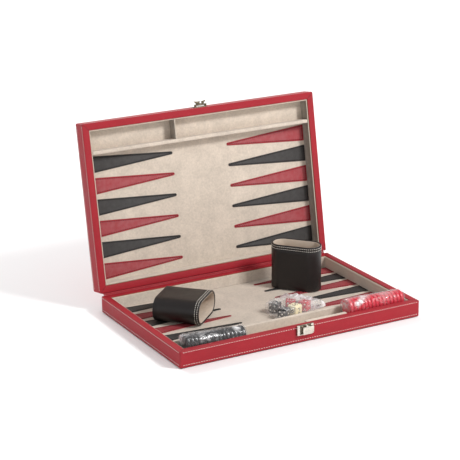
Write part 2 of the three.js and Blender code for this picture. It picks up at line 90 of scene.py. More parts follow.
class Wiring:
    """Adds nodes to one shader or node group, and joins them."""

    def __init__(self, tree: bpy.types.NodeTree) -> None:
        """Start on an empty tree."""
        self.tree = tree
        tree.nodes.clear()

    def feed(self, socket: bpy.types.NodeSocket, value: object) -> None:
        """Give a socket its value, or join it to another socket.

        Args:
            socket: The input to fill.
            value: A number, a colour, or the output that feeds it.
        """
        if isinstance(value, bpy.types.NodeSocket):
            self.tree.links.new(value, socket)
        elif socket.type == "RGBA" and len(value) == 3:
            socket.default_value = (*value, 1.0)
        else:
            socket.default_value = value

    def add(self, kind: str, settings: dict[str, object] | None = None, **inputs: object) -> bpy.types.Node:
        """Add a node.

        Args:
            kind: The node's type.
            settings: Its options, by name.
            **inputs: What fills its inputs, by name with _ for a space.

        Returns:
            The new node.
        """
        node = self.tree.nodes.new(kind)
        for name, value in (settings or {}).items():
            setattr(node, name, value)
        for name, value in inputs.items():
            self.feed(node.inputs[name.replace("_", " ")], value)
        return node

    def maths(self, operation: str, first: object, second: object) -> bpy.types.NodeSocket:
        """Work out one number from two.

        Args:
            operation: Which sum, such as MULTIPLY.
            first: The first number or socket.
            second: The second number or socket.

        Returns:
            The result's socket.
        """
        node = self.add("ShaderNodeMath", {"operation": operation})
        self.feed(node.inputs[0], first)
        self.feed(node.inputs[1], second)
        return node.outputs[0]

    def vector(self, operation: str, first: object, second: object) -> bpy.types.Node:
        """Work on two vectors.

        Args:
            operation: What to do, such as MULTIPLY.
            first: The first vector or socket.
            second: The second vector or socket.

        Returns:
            The node.
        """
        node = self.add("ShaderNodeVectorMath", {"operation": operation})
        self.feed(node.inputs[0], first)
        self.feed(node.inputs[1], second)
        return node

    def span(self, value: object, low: float, high: float, out_low: float,
             out_high: float) -> bpy.types.NodeSocket:
        """Stretch a number from one range to another, and hold it there.

        Args:
            value: The socket to stretch.
            low: Where the first range starts.
            high: Where it ends.
            out_low: What low becomes.
            out_high: What high becomes.

        Returns:
            The result's socket.
        """
        node = self.add("ShaderNodeMapRange", {"clamp": True}, Value=value, From_Min=low, From_Max=high,
                        To_Min=out_low, To_Max=out_high)
        return node.outputs[0]

    def blend(self, share: object, first: object, second: object) -> bpy.types.NodeSocket:
        """Mix two colours.

        Args:
            share: How much of the second.
            first: The first colour or socket.
            second: The second colour or socket.

        Returns:
            The mixed colour's socket.
        """
        node = self.add("ShaderNodeMix", {"data_type": "RGBA"})
        self.feed(node.inputs[0], share)
        self.feed(node.inputs[6], first)
        self.feed(node.inputs[7], second)
        return node.outputs[2]

    def place(self) -> bpy.types.NodeSocket:
        """The surface's place in its own piece."""
        return self.add("ShaderNodeTexCoord").outputs["Object"]


@dataclass(frozen=True)
class Effect:
    """A shared surface effect: a node group, built the first time it is placed."""

    name: str
    inputs: tuple[tuple[str, str], ...]
    outputs: tuple[tuple[str, str], ...]
    fill: Callable[[Wiring, bpy.types.Node], dict[str, bpy.types.NodeSocket]]

    def group(self) -> bpy.types.NodeTree:
        """Find the group, or build it.

        Returns:
            The node group.
        """
        found = bpy.data.node_groups.get(self.name)
        if found:
            return found
        tree = bpy.data.node_groups.new(self.name, "ShaderNodeTree")
        wires = Wiring(tree)
        for label, kind in self.inputs:
            tree.interface.new_socket(label, in_out="INPUT", socket_type=kind)
        for label, kind in self.outputs:
            tree.interface.new_socket(label, in_out="OUTPUT", socket_type=kind)
        made = self.fill(wires, wires.add("NodeGroupInput"))
        end = wires.add("NodeGroupOutput")
        for label, socket in made.items():
            wires.feed(end.inputs[label], socket)
        return tree

    def place(self, wires: Wiring, **inputs: object) -> bpy.types.Node:
        """Put the effect in a material.

        Args:
            wires: The material's wiring.
            **inputs: What fills the effect's inputs.

        Returns:
            The group's node.
        """
        node = wires.add("ShaderNodeGroup", {"node_tree": self.group()})
        for name, value in inputs.items():
            wires.feed(node.inputs[name.replace("_", " ")], value)
        return node


def fill_grain(wires: Wiring, start: bpy.types.Node) -> dict[str, bpy.types.NodeSocket]:
    """Pebbled leather grain.

    Args:
        wires: The group's wiring.
        start: The group's inputs.

    Returns:
        The group's outputs by name.
    """
    place = start.outputs["Vector"]
    wander = wires.add("ShaderNodeTexNoise", Vector=place, Scale=700.0, Detail=2.0)
    shift = wires.add("ShaderNodeVectorMath", {"operation": "SCALE"})
    wires.feed(shift.inputs[0], wander.outputs["Color"])
    wires.feed(shift.inputs["Scale"], 0.0006)
    moved = wires.vector("ADD", place, shift.outputs[0])
    cells = wires.add("ShaderNodeTexVoronoi", {"feature": "DISTANCE_TO_EDGE"},
                      Vector=moved.outputs[0], Scale=start.outputs["Scale"])
    pebble = wires.span(cells.outputs["Distance"], 0.0, 0.28, 0.0, 1.0)
    broad = wires.add("ShaderNodeTexNoise", Vector=place, Scale=28.0, Detail=4.0, Roughness=0.55)
    return {"Height": pebble, "Tone": wires.span(broad.outputs["Fac"], 0.3, 0.7, 0.0, 1.0)}


def fill_nap(wires: Wiring, start: bpy.types.Node) -> dict[str, bpy.types.NodeSocket]:
    """Suede nap: fine fibres, and broad strokes where a hand has brushed it.

    Args:
        wires: The group's wiring.
        start: The group's inputs.

    Returns:
        The group's outputs by name.
    """
    place = start.outputs["Vector"]
    fibre = wires.add("ShaderNodeTexNoise", Vector=place, Scale=2600.0, Detail=2.0)
    stroke = wires.add("ShaderNodeTexNoise", Vector=place, Scale=34.0, Detail=5.0, Roughness=0.62,
                       Distortion=0.8)
    strokes = wires.span(stroke.outputs["Fac"], 0.32, 0.68, 0.0, 1.0)
    mottle = wires.add("ShaderNodeTexNoise", Vector=place, Scale=330.0, Detail=4.0, Roughness=0.7)
    mottles = wires.span(mottle.outputs["Fac"], 0.34, 0.66, 0.0, 1.0)
    both = wires.maths("MULTIPLY_ADD", mottles, 0.5)
    wires.feed(both.node.inputs[2], wires.maths("MULTIPLY", strokes, 0.5))
    colour = wires.blend(both, start.outputs["Dark"], start.outputs["Light"])
    return {"Color": colour, "Height": fibre.outputs["Fac"], "Strokes": strokes}


def fill_edges(wires: Wiring, start: bpy.types.Node) -> dict[str, bpy.types.NodeSocket]:
    """A mask of the outer edges, broken up a little, where a finish rubs thin; the suede also paints sheen with
    it.

    Args:
        wires: The group's wiring.
        start: The group's inputs.

    Returns:
        The group's outputs by name.
    """
    sharp = wires.add("ShaderNodeNewGeometry").outputs["Pointiness"]
    edge = wires.span(sharp, 0.51, 0.6, 0.0, 1.0)
    patch = wires.add("ShaderNodeTexNoise", Vector=start.outputs["Vector"], Scale=160.0, Detail=3.0)
    broken = wires.maths("MULTIPLY", edge, wires.span(patch.outputs["Fac"], 0.3, 0.65, 0.35, 1.0))
    return {"Mask": wires.maths("MULTIPLY", broken, start.outputs["Amount"])}


def fill_specks(wires: Wiring, start: bpy.types.Node) -> dict[str, bpy.types.NodeSocket]:
    """Handling marks: a soft, uneven mask that changes how a surface shines.

    Args:
        wires: The group's wiring.
        start: The group's inputs.

    Returns:
        The group's outputs by name.
    """
    smear = wires.add("ShaderNodeTexNoise", Vector=start.outputs["Vector"], Scale=start.outputs["Scale"],
                      Detail=6.0, Roughness=0.6, Distortion=0.5)
    return {"Mask": wires.span(smear.outputs["Fac"], 0.35, 0.7, 0.0, 1.0)}


VECTOR = ("Vector", "NodeSocketVector")
GRAIN = Effect("Leather grain", (VECTOR, ("Scale", "NodeSocketFloat")),
               (("Height", "NodeSocketFloat"), ("Tone", "NodeSocketFloat")), fill_grain)
NAP = Effect("Suede nap", (VECTOR, ("Dark", "NodeSocketColor"), ("Light", "NodeSocketColor")),
             (("Color", "NodeSocketColor"), ("Height", "NodeSocketFloat"), ("Strokes", "NodeSocketFloat")),
             fill_nap)
EDGES = Effect("Edge wear and sheen", (VECTOR, ("Amount", "NodeSocketFloat")),
               (("Mask", "NodeSocketFloat"),), fill_edges)
SPECKS = Effect("Handling marks", (VECTOR, ("Scale", "NodeSocketFloat")),
                (("Mask", "NodeSocketFloat"),), fill_specks)


def shade(colour: Colour, factor: float) -> Colour:
    """A linear colour made darker or lighter by a factor, and held at 1."""
    return tuple(min(1.0, channel * factor) for channel in colour)


# ---- finishes --------------------------------------------------------------------------------


@dataclass(frozen=True)
class Finish:
    """A named finish, and the record's slot that it belongs to."""

    name: str
    slot: str
    colour: Colour

    def material(self) -> bpy.types.Material:
        """Find the finish's material, or mix it.

        Returns:
            The material.
        """
        found = bpy.data.materials.get(self.name)
        if found:
            return found
        made = bpy.data.materials.new(self.name)
        made.use_nodes = True
        made.diffuse_color = (*self.colour, 1.0)
        wires = Wiring(made.node_tree)
        shader = wires.add("ShaderNodeBsdfPrincipled")
        wires.feed(wires.add("ShaderNodeOutputMaterial").inputs["Surface"], shader.outputs[0])
        self.mix(wires, shader)
        return made

    def mix(self, wires: Wiring, shader: bpy.types.Node) -> None:
        """Fill the shader; each kind of finish has its own way.

        Args:
            wires: The material's wiring.
            shader: Its Principled BSDF.
        """
        wires.feed(shader.inputs["Base Color"], self.colour)

    def raise_grain(self, wires: Wiring, shader: bpy.types.Node, height: object, strength: float,
                    depth: float) -> None:
        """Give the shader a fine relief.

        Args:
            wires: The material's wiring.
            shader: Its Principled BSDF.
            height: The relief's height, 0 to 1.
            strength: How strong it looks.
            depth: Its real depth.
        """
        bump = wires.add("ShaderNodeBump", Strength=strength, Distance=depth, Height=height)
        wires.feed(shader.inputs["Normal"], bump.outputs[0])


@dataclass(frozen=True)
class Leather(Finish):
    """Grained leatherette over board."""

    roughness: float = 0.5
    grain_scale: float = 1150.0
    relief: float = 0.35
    worn: float = 0.3
    specular: float = 0.45

    def mix(self, wires: Wiring, shader: bpy.types.Node) -> None:
        """Grain, tone from place to place, painted shade in the grain's valleys, and lighter rubbed edges.

        Args:
            wires: The material's wiring.
            shader: Its Principled BSDF.
        """
        place = wires.place()
        grain = GRAIN.place(wires, Vector=place, Scale=self.grain_scale)
        edges = EDGES.place(wires, Vector=place, Amount=self.worn)
        body = wires.blend(grain.outputs["Tone"], shade(self.colour, 0.92), shade(self.colour, 1.06))
        # Painted shade: the grain's valleys are darkened.
        valley_shade = wires.span(grain.outputs["Height"], 0.0, 0.5, 0.45, 0.0)
        body = wires.blend(valley_shade, body, shade(self.colour, 0.55))
        rubbed = tuple(channel * 0.7 + 0.16 for channel in self.colour)
        wires.feed(shader.inputs["Base Color"], wires.blend(edges.outputs["Mask"], body, rubbed))
        shine = wires.span(grain.outputs["Tone"], 0.0, 1.0, self.roughness - 0.06, self.roughness + 0.08)
        wires.feed(shader.inputs["Roughness"], shine)
        shader.inputs["Specular IOR Level"].default_value = self.specular
        self.raise_grain(wires, shader, grain.outputs["Height"], self.relief, 0.25 * MM)


@dataclass(frozen=True)
class Suede(Finish):
    """Microsuede with a short nap. On faces turned to the left its colour is darkened by a factor, as painted
    shade.
    """

    # Painted shade: the colour's factor on faces turned to the left, away from the key lamp.
    left_face_shade: float = 1.0

    def mix(self, wires: Wiring, shader: bpy.types.Node) -> None:
        """Nap, brushed strokes, pale edges partly worn and partly painted sheen, and painted shade on left
        faces.

        Args:
            wires: The material's wiring.
            shader: Its Principled BSDF.
        """
        place = wires.place()
        nap = NAP.place(wires, Vector=place, Dark=shade(self.colour, 0.78), Light=shade(self.colour, 1.14))
        edges = EDGES.place(wires, Vector=place, Amount=0.55)
        # Pale edges: partly rubbed nap, partly painted sheen on the edges.
        pale = tuple(channel * 0.6 + 0.3 for channel in self.colour)
        sideways = wires.add("ShaderNodeSeparateXYZ")
        wires.feed(sideways.inputs[0], wires.add("ShaderNodeNewGeometry").outputs["Normal"])
        # Painted shade: faces turned to the left take the darkened colour.
        leftward = wires.span(sideways.outputs["X"], -0.9, -0.4, 1.0, 0.0)
        left_shaded = wires.blend(leftward, nap.outputs["Color"], shade(self.colour, self.left_face_shade))
        wires.feed(shader.inputs["Base Color"], wires.blend(edges.outputs["Mask"], left_shaded, pale))
        wires.feed(shader.inputs["Roughness"], wires.span(nap.outputs["Strokes"], 0.0, 1.0, 0.86, 0.98))
        shader.inputs["Sheen Weight"].default_value = 0.25
        shader.inputs["Sheen Roughness"].default_value = 0.45
        shader.inputs["Specular IOR Level"].default_value = 0.15
        self.raise_grain(wires, shader, nap.outputs["Height"], 0.4, 0.2 * MM)


@dataclass(frozen=True)
class Plastic(Finish):
    """Polished moulded plastic."""

    roughness: float = 0.16
    coat: float = 0.3

    def mix(self, wires: Wiring, shader: bpy.types.Node) -> None:
        """A gloss that handling has dulled in places.

        Args:
            wires: The material's wiring.
            shader: Its Principled BSDF.
        """
        place = wires.place()
        marks = SPECKS.place(wires, Vector=place, Scale=240.0)
        edges = EDGES.place(wires, Vector=place, Amount=0.12)
        body = wires.blend(marks.outputs["Mask"], self.colour, shade(self.colour, 1.12))
        pale = tuple(channel * 0.8 + 0.12 for channel in self.colour)
        wires.feed(shader.inputs["Base Color"], wires.blend(edges.outputs["Mask"], body, pale))
        wires.feed(shader.inputs["Roughness"],
                   wires.span(marks.outputs["Mask"], 0.0, 1.0, self.roughness, self.roughness + 0.1))
        shader.inputs["Coat Weight"].default_value = self.coat
        shader.inputs["Coat Roughness"].default_value = 0.08


@dataclass(frozen=True)
class Metal(Finish):
    """Bright nickel plate over stamped steel."""

    roughness: float = 0.24

    def mix(self, wires: Wiring, shader: bpy.types.Node) -> None:
        """Fine brushing, marks and edges rubbed to the warm metal below.

        Args:
            wires: The material's wiring.
            shader: Its Principled BSDF.
        """
        place = wires.place()
        marks = SPECKS.place(wires, Vector=place, Scale=420.0)
        edges = EDGES.place(wires, Vector=place, Amount=0.5)
        body = wires.blend(marks.outputs["Mask"], shade(self.colour, 0.92), self.colour)
        warm = (self.colour[0], self.colour[1] * 0.9, self.colour[2] * 0.72)
        wires.feed(shader.inputs["Base Color"], wires.blend(edges.outputs["Mask"], body, warm))
        shader.inputs["Metallic"].default_value = 1.0
        wires.feed(shader.inputs["Roughness"],
                   wires.span(marks.outputs["Mask"], 0.0, 1.0, self.roughness, self.roughness + 0.12))
        lines = wires.add("ShaderNodeTexNoise", Scale=1.0, Detail=3.0)
        squeezed = wires.vector("MULTIPLY", place, (300.0, 6000.0, 6000.0))
        wires.feed(lines.inputs["Vector"], squeezed.outputs[0])
        self.raise_grain(wires, shader, lines.outputs["Fac"], 0.12, 0.05 * MM)


@dataclass(frozen=True)
class Thread(Finish):
    """Waxed sewing thread."""

    def mix(self, wires: Wiring, shader: bpy.types.Node) -> None:
        """Twisted plies, darker between them as painted shade.

        Args:
            wires: The material's wiring.
            shader: Its Principled BSDF.
        """
        plies = wires.add("ShaderNodeTexNoise", Vector=wires.place(), Scale=3600.0, Detail=1.0)
        twist = plies.outputs["Fac"]
        # Painted shade: the thread is darker where its relief is low.
        wires.feed(shader.inputs["Base Color"], wires.blend(twist, shade(self.colour, 0.82), self.colour))
        shader.inputs["Roughness"].default_value = 0.7
        self.raise_grain(wires, shader, twist, 0.4, 0.1 * MM)


@dataclass(frozen=True)
class Wood(Finish):
    """Raw pressed board under the leather."""

    def mix(self, wires: Wiring, shader: bpy.types.Node) -> None:
        """Long fibres and darker flecks.

        Args:
            wires: The material's wiring.
            shader: Its Principled BSDF.
        """
        squeezed = wires.vector("MULTIPLY", wires.place(), (30.0, 240.0, 240.0))
        fibres = wires.add("ShaderNodeTexNoise", Vector=squeezed.outputs[0], Scale=3.0, Detail=6.0)
        share = wires.span(fibres.outputs["Fac"], 0.3, 0.7, 0.0, 1.0)
        wires.feed(shader.inputs["Base Color"], wires.blend(share, shade(self.colour, 0.6), self.colour))
        shader.inputs["Roughness"].default_value = 0.8
        self.raise_grain(wires, shader, share, 0.3, 0.2 * MM)


@dataclass(frozen=True)
class Film(Finish):
    """Thin clear film: painted glints along its creases, painted reflection and painted highlight patches.

    Each patch is its middle, its reach and how bright its painted highlight is.
    """

    thinnest: float = 0.03
    # Painted glints along creases, painted reflection at glancing angles and painted highlight patches.
    glint_strength: float = 0.5
    glint_scale: float = 120.0
    stretch: tuple[float, float, float] = (1.0, 1.0, 1.0)
    reflection_strength: float = 0.5
    highlight_patches: tuple[tuple[Vector, float, float], ...] = ()

    def mix(self, wires: Wiring, shader: bpy.types.Node) -> None:
        """Clear where it lies flat; painted reflection at glancing angles, and painted glints and highlight
        patches.

        Args:
            wires: The material's wiring.
            shader: Its Principled BSDF.
        """
        place = wires.place()
        drawn = wires.vector("MULTIPLY", place, self.stretch)
        crease = wires.add("ShaderNodeTexNoise", Vector=drawn.outputs[0], Scale=self.glint_scale, Detail=3.0,
                           Roughness=0.6, Distortion=1.4)
        off_line = wires.add("ShaderNodeMath", {"operation": "ABSOLUTE"})
        wires.feed(off_line.inputs[0], wires.maths("SUBTRACT", crease.outputs["Fac"], 0.5))
        # Painted glints: thin bright lines along the creases.
        line = wires.span(off_line.outputs[0], 0.0, 0.028, self.glint_strength, 0.0)
        patch = wires.add("ShaderNodeTexNoise", Vector=place, Scale=75.0, Detail=2.0)
        glint = wires.maths("MULTIPLY", line, wires.span(patch.outputs["Fac"], 0.42, 0.62, 0.0, 1.0))
        # Painted reflection: whiter at glancing angles.
        facing = wires.add("ShaderNodeLayerWeight", Blend=0.5).outputs["Facing"]
        painted_reflection = wires.span(facing, 0.4, 1.0, 0.0, self.reflection_strength)
        most = wires.maths("MAXIMUM", glint, painted_reflection)
        patchy = wires.span(crease.outputs["Fac"], 0.36, 0.58, 0.2, 1.0)
        # Painted highlight patches, broken up by the creases.
        for middle, reach, highlight in self.highlight_patches:
            apart = wires.vector("DISTANCE", place, middle)
            close = wires.span(apart.outputs["Value"], reach * 0.3, reach, highlight, 0.0)
            most = wires.maths("MAXIMUM", most, wires.maths("MULTIPLY", close, patchy))
        wires.feed(shader.inputs["Alpha"], wires.maths("MAXIMUM", most, self.thinnest))
        wires.feed(shader.inputs["Base Color"], self.colour)
        shader.inputs["Roughness"].default_value = 0.12
        shader.inputs["Coat Weight"].default_value = 1.0
        shader.inputs["Coat Roughness"].default_value = 0.06
        self.raise_grain(wires, shader, crease.outputs["Fac"], 0.5, 0.8 * MM)


RED_LEATHER = Leather("Red leather", "red_leather", linear(164, 30, 42), roughness=0.5, specular=0.28)
POINT_RED = Leather("Point red", "red_leather", linear(156, 32, 42), roughness=0.55)
RED_BORDER = Leather("Red border", "red_leather", linear(156, 20, 34), roughness=0.5)
# Painted shadow in the mitre seams at the rim's corners.
SEAM_SHADOW = Leather("Mitre seam shadow", "red_leather", linear(74, 12, 20), roughness=0.7, worn=0.0)
CHARCOAL_LEATHER = Leather("Charcoal leather", "charcoal_leather", linear(45, 41, 39), roughness=0.58,
                           worn=0.1)
CHARCOAL_BORDER = Leather("Charcoal border", "charcoal_leather", linear(37, 33, 32), roughness=0.55, worn=0.1)
CUP_LEATHER = Leather("Cup leather", "cup_leather", linear(28, 22, 21), roughness=0.38, relief=0.2, worn=0.1)
SUEDE = Suede("Beige suede", "suede", linear(206, 192, 177))
# The same suede made darker as painted shade inside the cups.
CUP_SUEDE_SHADED = Suede("Cup suede, painted shade", "suede", linear(190, 172, 154))
# The lid's suede, with painted shade on faces turned to the left.
LID_SUEDE_LEFT_SHADED = Suede("Lid suede, painted left shade", "suede", linear(204, 190, 174), left_face_shade=0.36)
BOARD = Wood("Raw board", "board", linear(184, 148, 104))
# Black, as painted contact shadow along the base's lower edge.
BACKING_CONTACT_SHADOW = Leather("Backing sheet, painted contact shadow", "backing", linear(26, 25, 24), roughness=0.85, relief=0.5, worn=0.05)
NICKEL = Metal("Nickel", "nickel", linear(226, 222, 216))
HASP_NICKEL = Metal("Hasp nickel", "nickel", linear(104, 94, 80), roughness=0.36)
# Darker nickel as painted shade in the latch's recess and behind its parts.
SHADED_NICKEL = Metal("Nickel, painted recess shade", "nickel", linear(120, 112, 102), roughness=0.45)
BLACK_PLASTIC = Plastic("Black plastic", "black_checker", linear(18, 18, 22), roughness=0.32, coat=0.15)
RED_PLASTIC = Plastic("Red plastic", "red_checker", linear(198, 14, 48), roughness=0.34, coat=0.1)
BLACK_DIE = Plastic("Black die", "black_die", linear(24, 24, 27))
RED_DIE = Plastic("Red die", "red_die", linear(205, 22, 50))
IVORY = Plastic("Ivory", "ivory", linear(240, 226, 182), roughness=0.3, coat=0.1)
PIP_PAINT = Plastic("Pip paint", "ivory", linear(245, 242, 236), roughness=0.35, coat=0.0)
NUMERAL_PAINT = Plastic("Numeral paint", "black_die", linear(30, 28, 34), roughness=0.4, coat=0.0)
WHITE_THREAD = Thread("White thread", "red_leather", linear(240, 226, 220))
CUP_THREAD = Thread("Cup thread", "cup_leather", linear(232, 226, 216))
RED_THREAD = Thread("Red thread", "red_leather", linear(78, 8, 18))
CHARCOAL_THREAD = Thread("Charcoal thread", "charcoal_leather", linear(14, 12, 12))


# ---- making meshes ---------------------------------------------------------------------------


class Draft:
    """A mesh in the making: corners and faces that become one piece."""

    def __init__(self) -> None:
        """Start with nothing."""
        self.corners: list[Vector] = []
        self.faces: list[tuple[int, ...]] = []

    def add(self, corners: Sequence[Vector], faces: Sequence[Sequence[int]],
            matrix: Matrix | None = None) -> None:
        """Add corners and the faces between them.

        Args:
            corners: The new corners.
            faces: Their faces, counted from the first new corner.
            matrix: Where they go, or None to leave them.
        """
        start = len(self.corners)
        self.corners += [matrix @ corner if matrix else corner.copy() for corner in corners]
        self.faces += [tuple(start + index for index in face) for face in faces]

    def rings(self, rings: Sequence[Sequence[Vector]], loop: bool = False,
              matrix: Matrix | None = None) -> None:
        """Join rings of corners into a closed skin.

        Args:
            rings: Rings of the same number of corners, each counted the same way round.
            loop: Whether the last ring meets the first; otherwise both ends are capped.
            matrix: Where the skin goes, or None to leave it.
        """
        count = len(rings[0])
        corners = [corner for ring in rings for corner in ring]
        faces: list[tuple[int, ...]] = []
        for level in range(len(rings) if loop else len(rings) - 1):
            lower = level * count
            upper = (level + 1) % len(rings) * count
            for index in range(count):
                after = (index + 1) % count
                faces.append((lower + index, lower + after, upper + after, upper + index))
        if not loop:
            last = (len(rings) - 1) * count
            faces.append(tuple(reversed(range(count))))
            faces.append(tuple(range(last, last + count)))
        self.add(corners, faces, matrix)

    def finish(self, name: str, angle: float = 40.0) -> bpy.types.Object:
        """Turn the draft into a piece.

        Args:
            name: The piece's name.
            angle: Edges sharper than this, in degrees, stay crisp.

        Returns:
            The new object.
        """
        mesh = bpy.data.meshes.new(name)
        mesh.from_pydata(self.corners, [], self.faces)
        work = bmesh.new()
        work.from_mesh(mesh)
        bmesh.ops.recalc_face_normals(work, faces=work.faces)
        work.to_mesh(mesh)
        work.free()
        mesh.shade_smooth()
        mesh.set_sharp_from_angle(angle=math.radians(angle))
        made = bpy.data.objects.new(name, mesh)
        bpy.context.scene.collection.objects.link(made)
        return made


def raised(ring: Sequence[Vector], height: float) -> list[Vector]:
    """A ring lifted along Z."""
    return [point + Vector((0, 0, height)) for point in ring]


def outline(width: float, depth: float, radius: float, arc_steps: int = 6,
            side_steps: int = 1) -> list[Vector]:
    """A rectangle about the origin with round corners, counted anticlockwise.

    Args:
        width: Its size along X.
        depth: Its size along Y.
        radius: Its corners' radius.
        arc_steps: Steps round each corner.
        side_steps: Steps along each side.

    Returns:
        Its corners, in one plane.
    """
    found: list[Vector] = []
    signs = ((1, 1), (-1, 1), (-1, -1), (1, -1))
    for number, (right, back) in enumerate(signs):
        centre = Vector((right * (width / 2 - radius), back * (depth / 2 - radius), 0))
        for step in range(arc_steps + 1):
            angle = math.radians(90 * (number + step / arc_steps))
            found.append(centre + Vector((math.cos(angle), math.sin(angle), 0)) * radius)
        start = found[-1]
        turned = math.radians(90 * (number + 1))
        right, back = signs[(number + 1) % 4]
        end = Vector((right * (width / 2 - radius), back * (depth / 2 - radius), 0))
        end += Vector((math.cos(turned), math.sin(turned), 0)) * radius
        found += [start.lerp(end, step / side_steps) for step in range(1, side_steps)]
    return found


def layers(width: float, depth: float, radius: float, profile: Profile, arc_steps: int = 6,
           side_steps: int = 1) -> list[list[Vector]]:
    """Rings of a rounded rectangle, one for each point of a profile.

    Args:
        width: The full size along X.
        depth: The full size along Y.
        radius: The corners' radius at no inset.
        profile: Inset and height of each ring.
        arc_steps: Steps round each corner.
        side_steps: Steps along each side.

    Returns:
        The rings, in the profile's order.
    """
    rings = []
    for inset, height in profile:
        corner = max(radius - inset, 0.3 * MM)
        ring = outline(width - 2 * inset, depth - 2 * inset, corner, arc_steps, side_steps)
        rings.append(raised(ring, height))
    return rings


def quarter(inset: float, height: float, radius: float, start: float, steps: int = 4) -> Profile:
    """A quarter circle of a profile.

    Args:
        inset: The circle's centre, as an inset.
        height: The circle's centre, as a height.
        radius: Its radius.
        start: Its first angle in degrees; 0 points inwards and 90 up.
        steps: How many steps it takes.

    Returns:
        Its points.
    """
    angles = [math.radians(start + 90 * step / steps) for step in range(steps + 1)]
    return [(inset + radius * math.cos(angle), height + radius * math.sin(angle)) for angle in angles]


def slab_profile(bottom: float, top: float, edge: float) -> Profile:
    """The profile of a slab with rounded edges.

    Args:
        bottom: Its lowest height.
        top: Its highest height.
        edge: The radius of its edges.

    Returns:
        Its points, from the underside round to the top.
    """
    return quarter(edge, bottom + edge, edge, 180)[::-1] + quarter(edge, top - edge, edge, 90)[::-1]


def slab(draft: Draft, low: Vector, high: Vector, edge: float, corner: float | None = None) -> None:
    """Add a slab with rounded edges and corners between two points.

    Args:
        draft: The mesh it joins.
        low: Its lowest corner.
        high: Its highest corner.
        edge: The radius of its upper and lower edges.
        corner: The radius of its upright corners, or None for the same.
    """
    size = high - low
    middle = (low + high) / 2
    rings = layers(size.x, size.y, corner or edge, slab_profile(-size.z / 2, size.z / 2, edge), arc_steps=4)
    draft.rings(rings, matrix=Matrix.Translation(middle))


def turned(draft: Draft, profile: Profile, matrix: Matrix, steps: int = 32) -> None:
    """Add a turned shape about its own Z axis.

    Args:
        draft: The mesh it joins.
        profile: Radius and height of each ring, from the lower axis to the upper.
        matrix: Where it goes.
        steps: Steps round it.
    """
    around = [math.tau * step / steps for step in range(steps)]
    rings = [[Vector((radius * math.cos(angle), radius * math.sin(angle), height)) for angle in around]
             for radius, height in profile]
    draft.rings(rings, matrix=matrix)


def settle(piece: bpy.types.Object, body: str, finish: Finish, *nodes: str) -> bpy.types.Object:
    """Dress a piece, hide the CAD nodes that it stands for, and give it its body.

    Args:
        piece: The object.
        body: The body that it rides on.
        finish: Its finish.
        *nodes: The CAD nodes that it replaces.

    Returns:
        The same object.
    """
    piece.data.materials.clear()
    piece.data.materials.append(finish.material())
    if nodes:
        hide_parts(*nodes)
    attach(piece, body)
    LOG.info("%s rides on %s", piece.name, body)
    return piece


def middle_of(node: str) -> Vector:
    """The middle of a CAD node's box."""
    low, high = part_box(node)
    return (low + high) / 2


def joint(name: str) -> dict:
    """A joint of the record."""
    return next(found for found in frame["record"]["behaviour"]["joints"] if found["name"] == name)


class SewingLine:
    """Sewn thread: every stitch is a small rounded bar, half sunk in the leather."""

    def __init__(self, length: float = 2.4 * MM, pitch: float = 3.8 * MM, radius: float = 0.42 * MM) -> None:
        """Start with no stitches.

        Args:
            length: One stitch's length.
            pitch: From one stitch to the next.
            radius: The thread's radius.
        """
        self.length = length
        self.pitch = pitch
        self.radius = radius
        self.draft = Draft()
        self.corners, self.faces = self.stitch()

    def stitch(self) -> tuple[list[Vector], list[tuple[int, ...]]]:
        """One stitch along X with its outside at +Z.

        Returns:
            Its corners and its faces.
        """
        sides = 6
        shape = ((-0.5, 0.0), (-0.4, 0.75), (0.0, 1.0), (0.4, 0.75), (0.5, 0.0))
        corners: list[Vector] = []
        for along, share in shape[1:-1]:
            for side in range(sides):
                angle = math.tau * side / sides
                corners.append(Vector((along * self.length, math.cos(angle) * self.radius * share,
                                       math.sin(angle) * self.radius * share)))
        corners += [Vector((-self.length / 2, 0, 0)), Vector((self.length / 2, 0, 0))]
        faces: list[tuple[int, ...]] = []
        for side in range(sides):
            after = (side + 1) % sides
            for level in (0, 1):
                low = level * sides
                faces.append((low + side, low + after, low + sides + after, low + sides + side))
            faces.append((3 * sides, after, side))
            faces.append((3 * sides + 1, 2 * sides + side, 2 * sides + after))
        return corners, faces

    def put(self, point: Vector, along: Vector, out: Vector) -> None:
        """Sew one stitch.

        Args:
            point: Where its middle meets the surface.
            along: The direction of the row.
            out: The direction away from the surface.
        """
        x_axis = along.normalized()
        z_axis = out.normalized()
        y_axis = z_axis.cross(x_axis)
        matrix = Matrix((x_axis, y_axis, z_axis)).transposed().to_4x4()
        matrix.translation = point + z_axis * self.radius * 0.25
        self.draft.add(self.corners, self.faces, matrix)

    def straight(self, start: Vector, end: Vector, out: Vector) -> None:
        """Sew a straight row.

        Args:
            start: Where it starts.
            end: Where it ends.
            out: The direction away from the surface.
        """
        run = end - start
        count = max(1, round(run.length / self.pitch))
        for index in range(count):
            self.put(start + run * ((index + 0.5) / count), run, out)

    def round(self, loop: Sequence[Vector], outward: Callable[[Vector], Vector] | None = None) -> None:
        """Sew a closed row along a loop of close points.

        Args:
            loop: The points, in order.
            outward: Gives the outward direction along a run, or None for square to the run and to Z.
        """
        lengths = [(loop[(index + 1) % len(loop)] - point).length for index, point in enumerate(loop)]
        total = sum(lengths)
        count = round(total / self.pitch)
        wanted = [total * (index + 0.5) / count for index in range(count)]
        travelled = 0.0
        for index, point in enumerate(loop):
            run = loop[(index + 1) % len(loop)] - point
            while wanted and travelled + lengths[index] >= wanted[0]:
                share = (wanted.pop(0) - travelled) / max(lengths[index], 1e-9)
                out = outward(run) if outward else run.cross(Vector((0, 0, 1)))
                self.put(point + run * share, run, out)
            travelled += lengths[index]


# ---- the trays -------------------------------------------------------------------------------


class TrayKind(Enum):
    """The two halves of the case."""

    BASE = "base"
    LID = "lid"


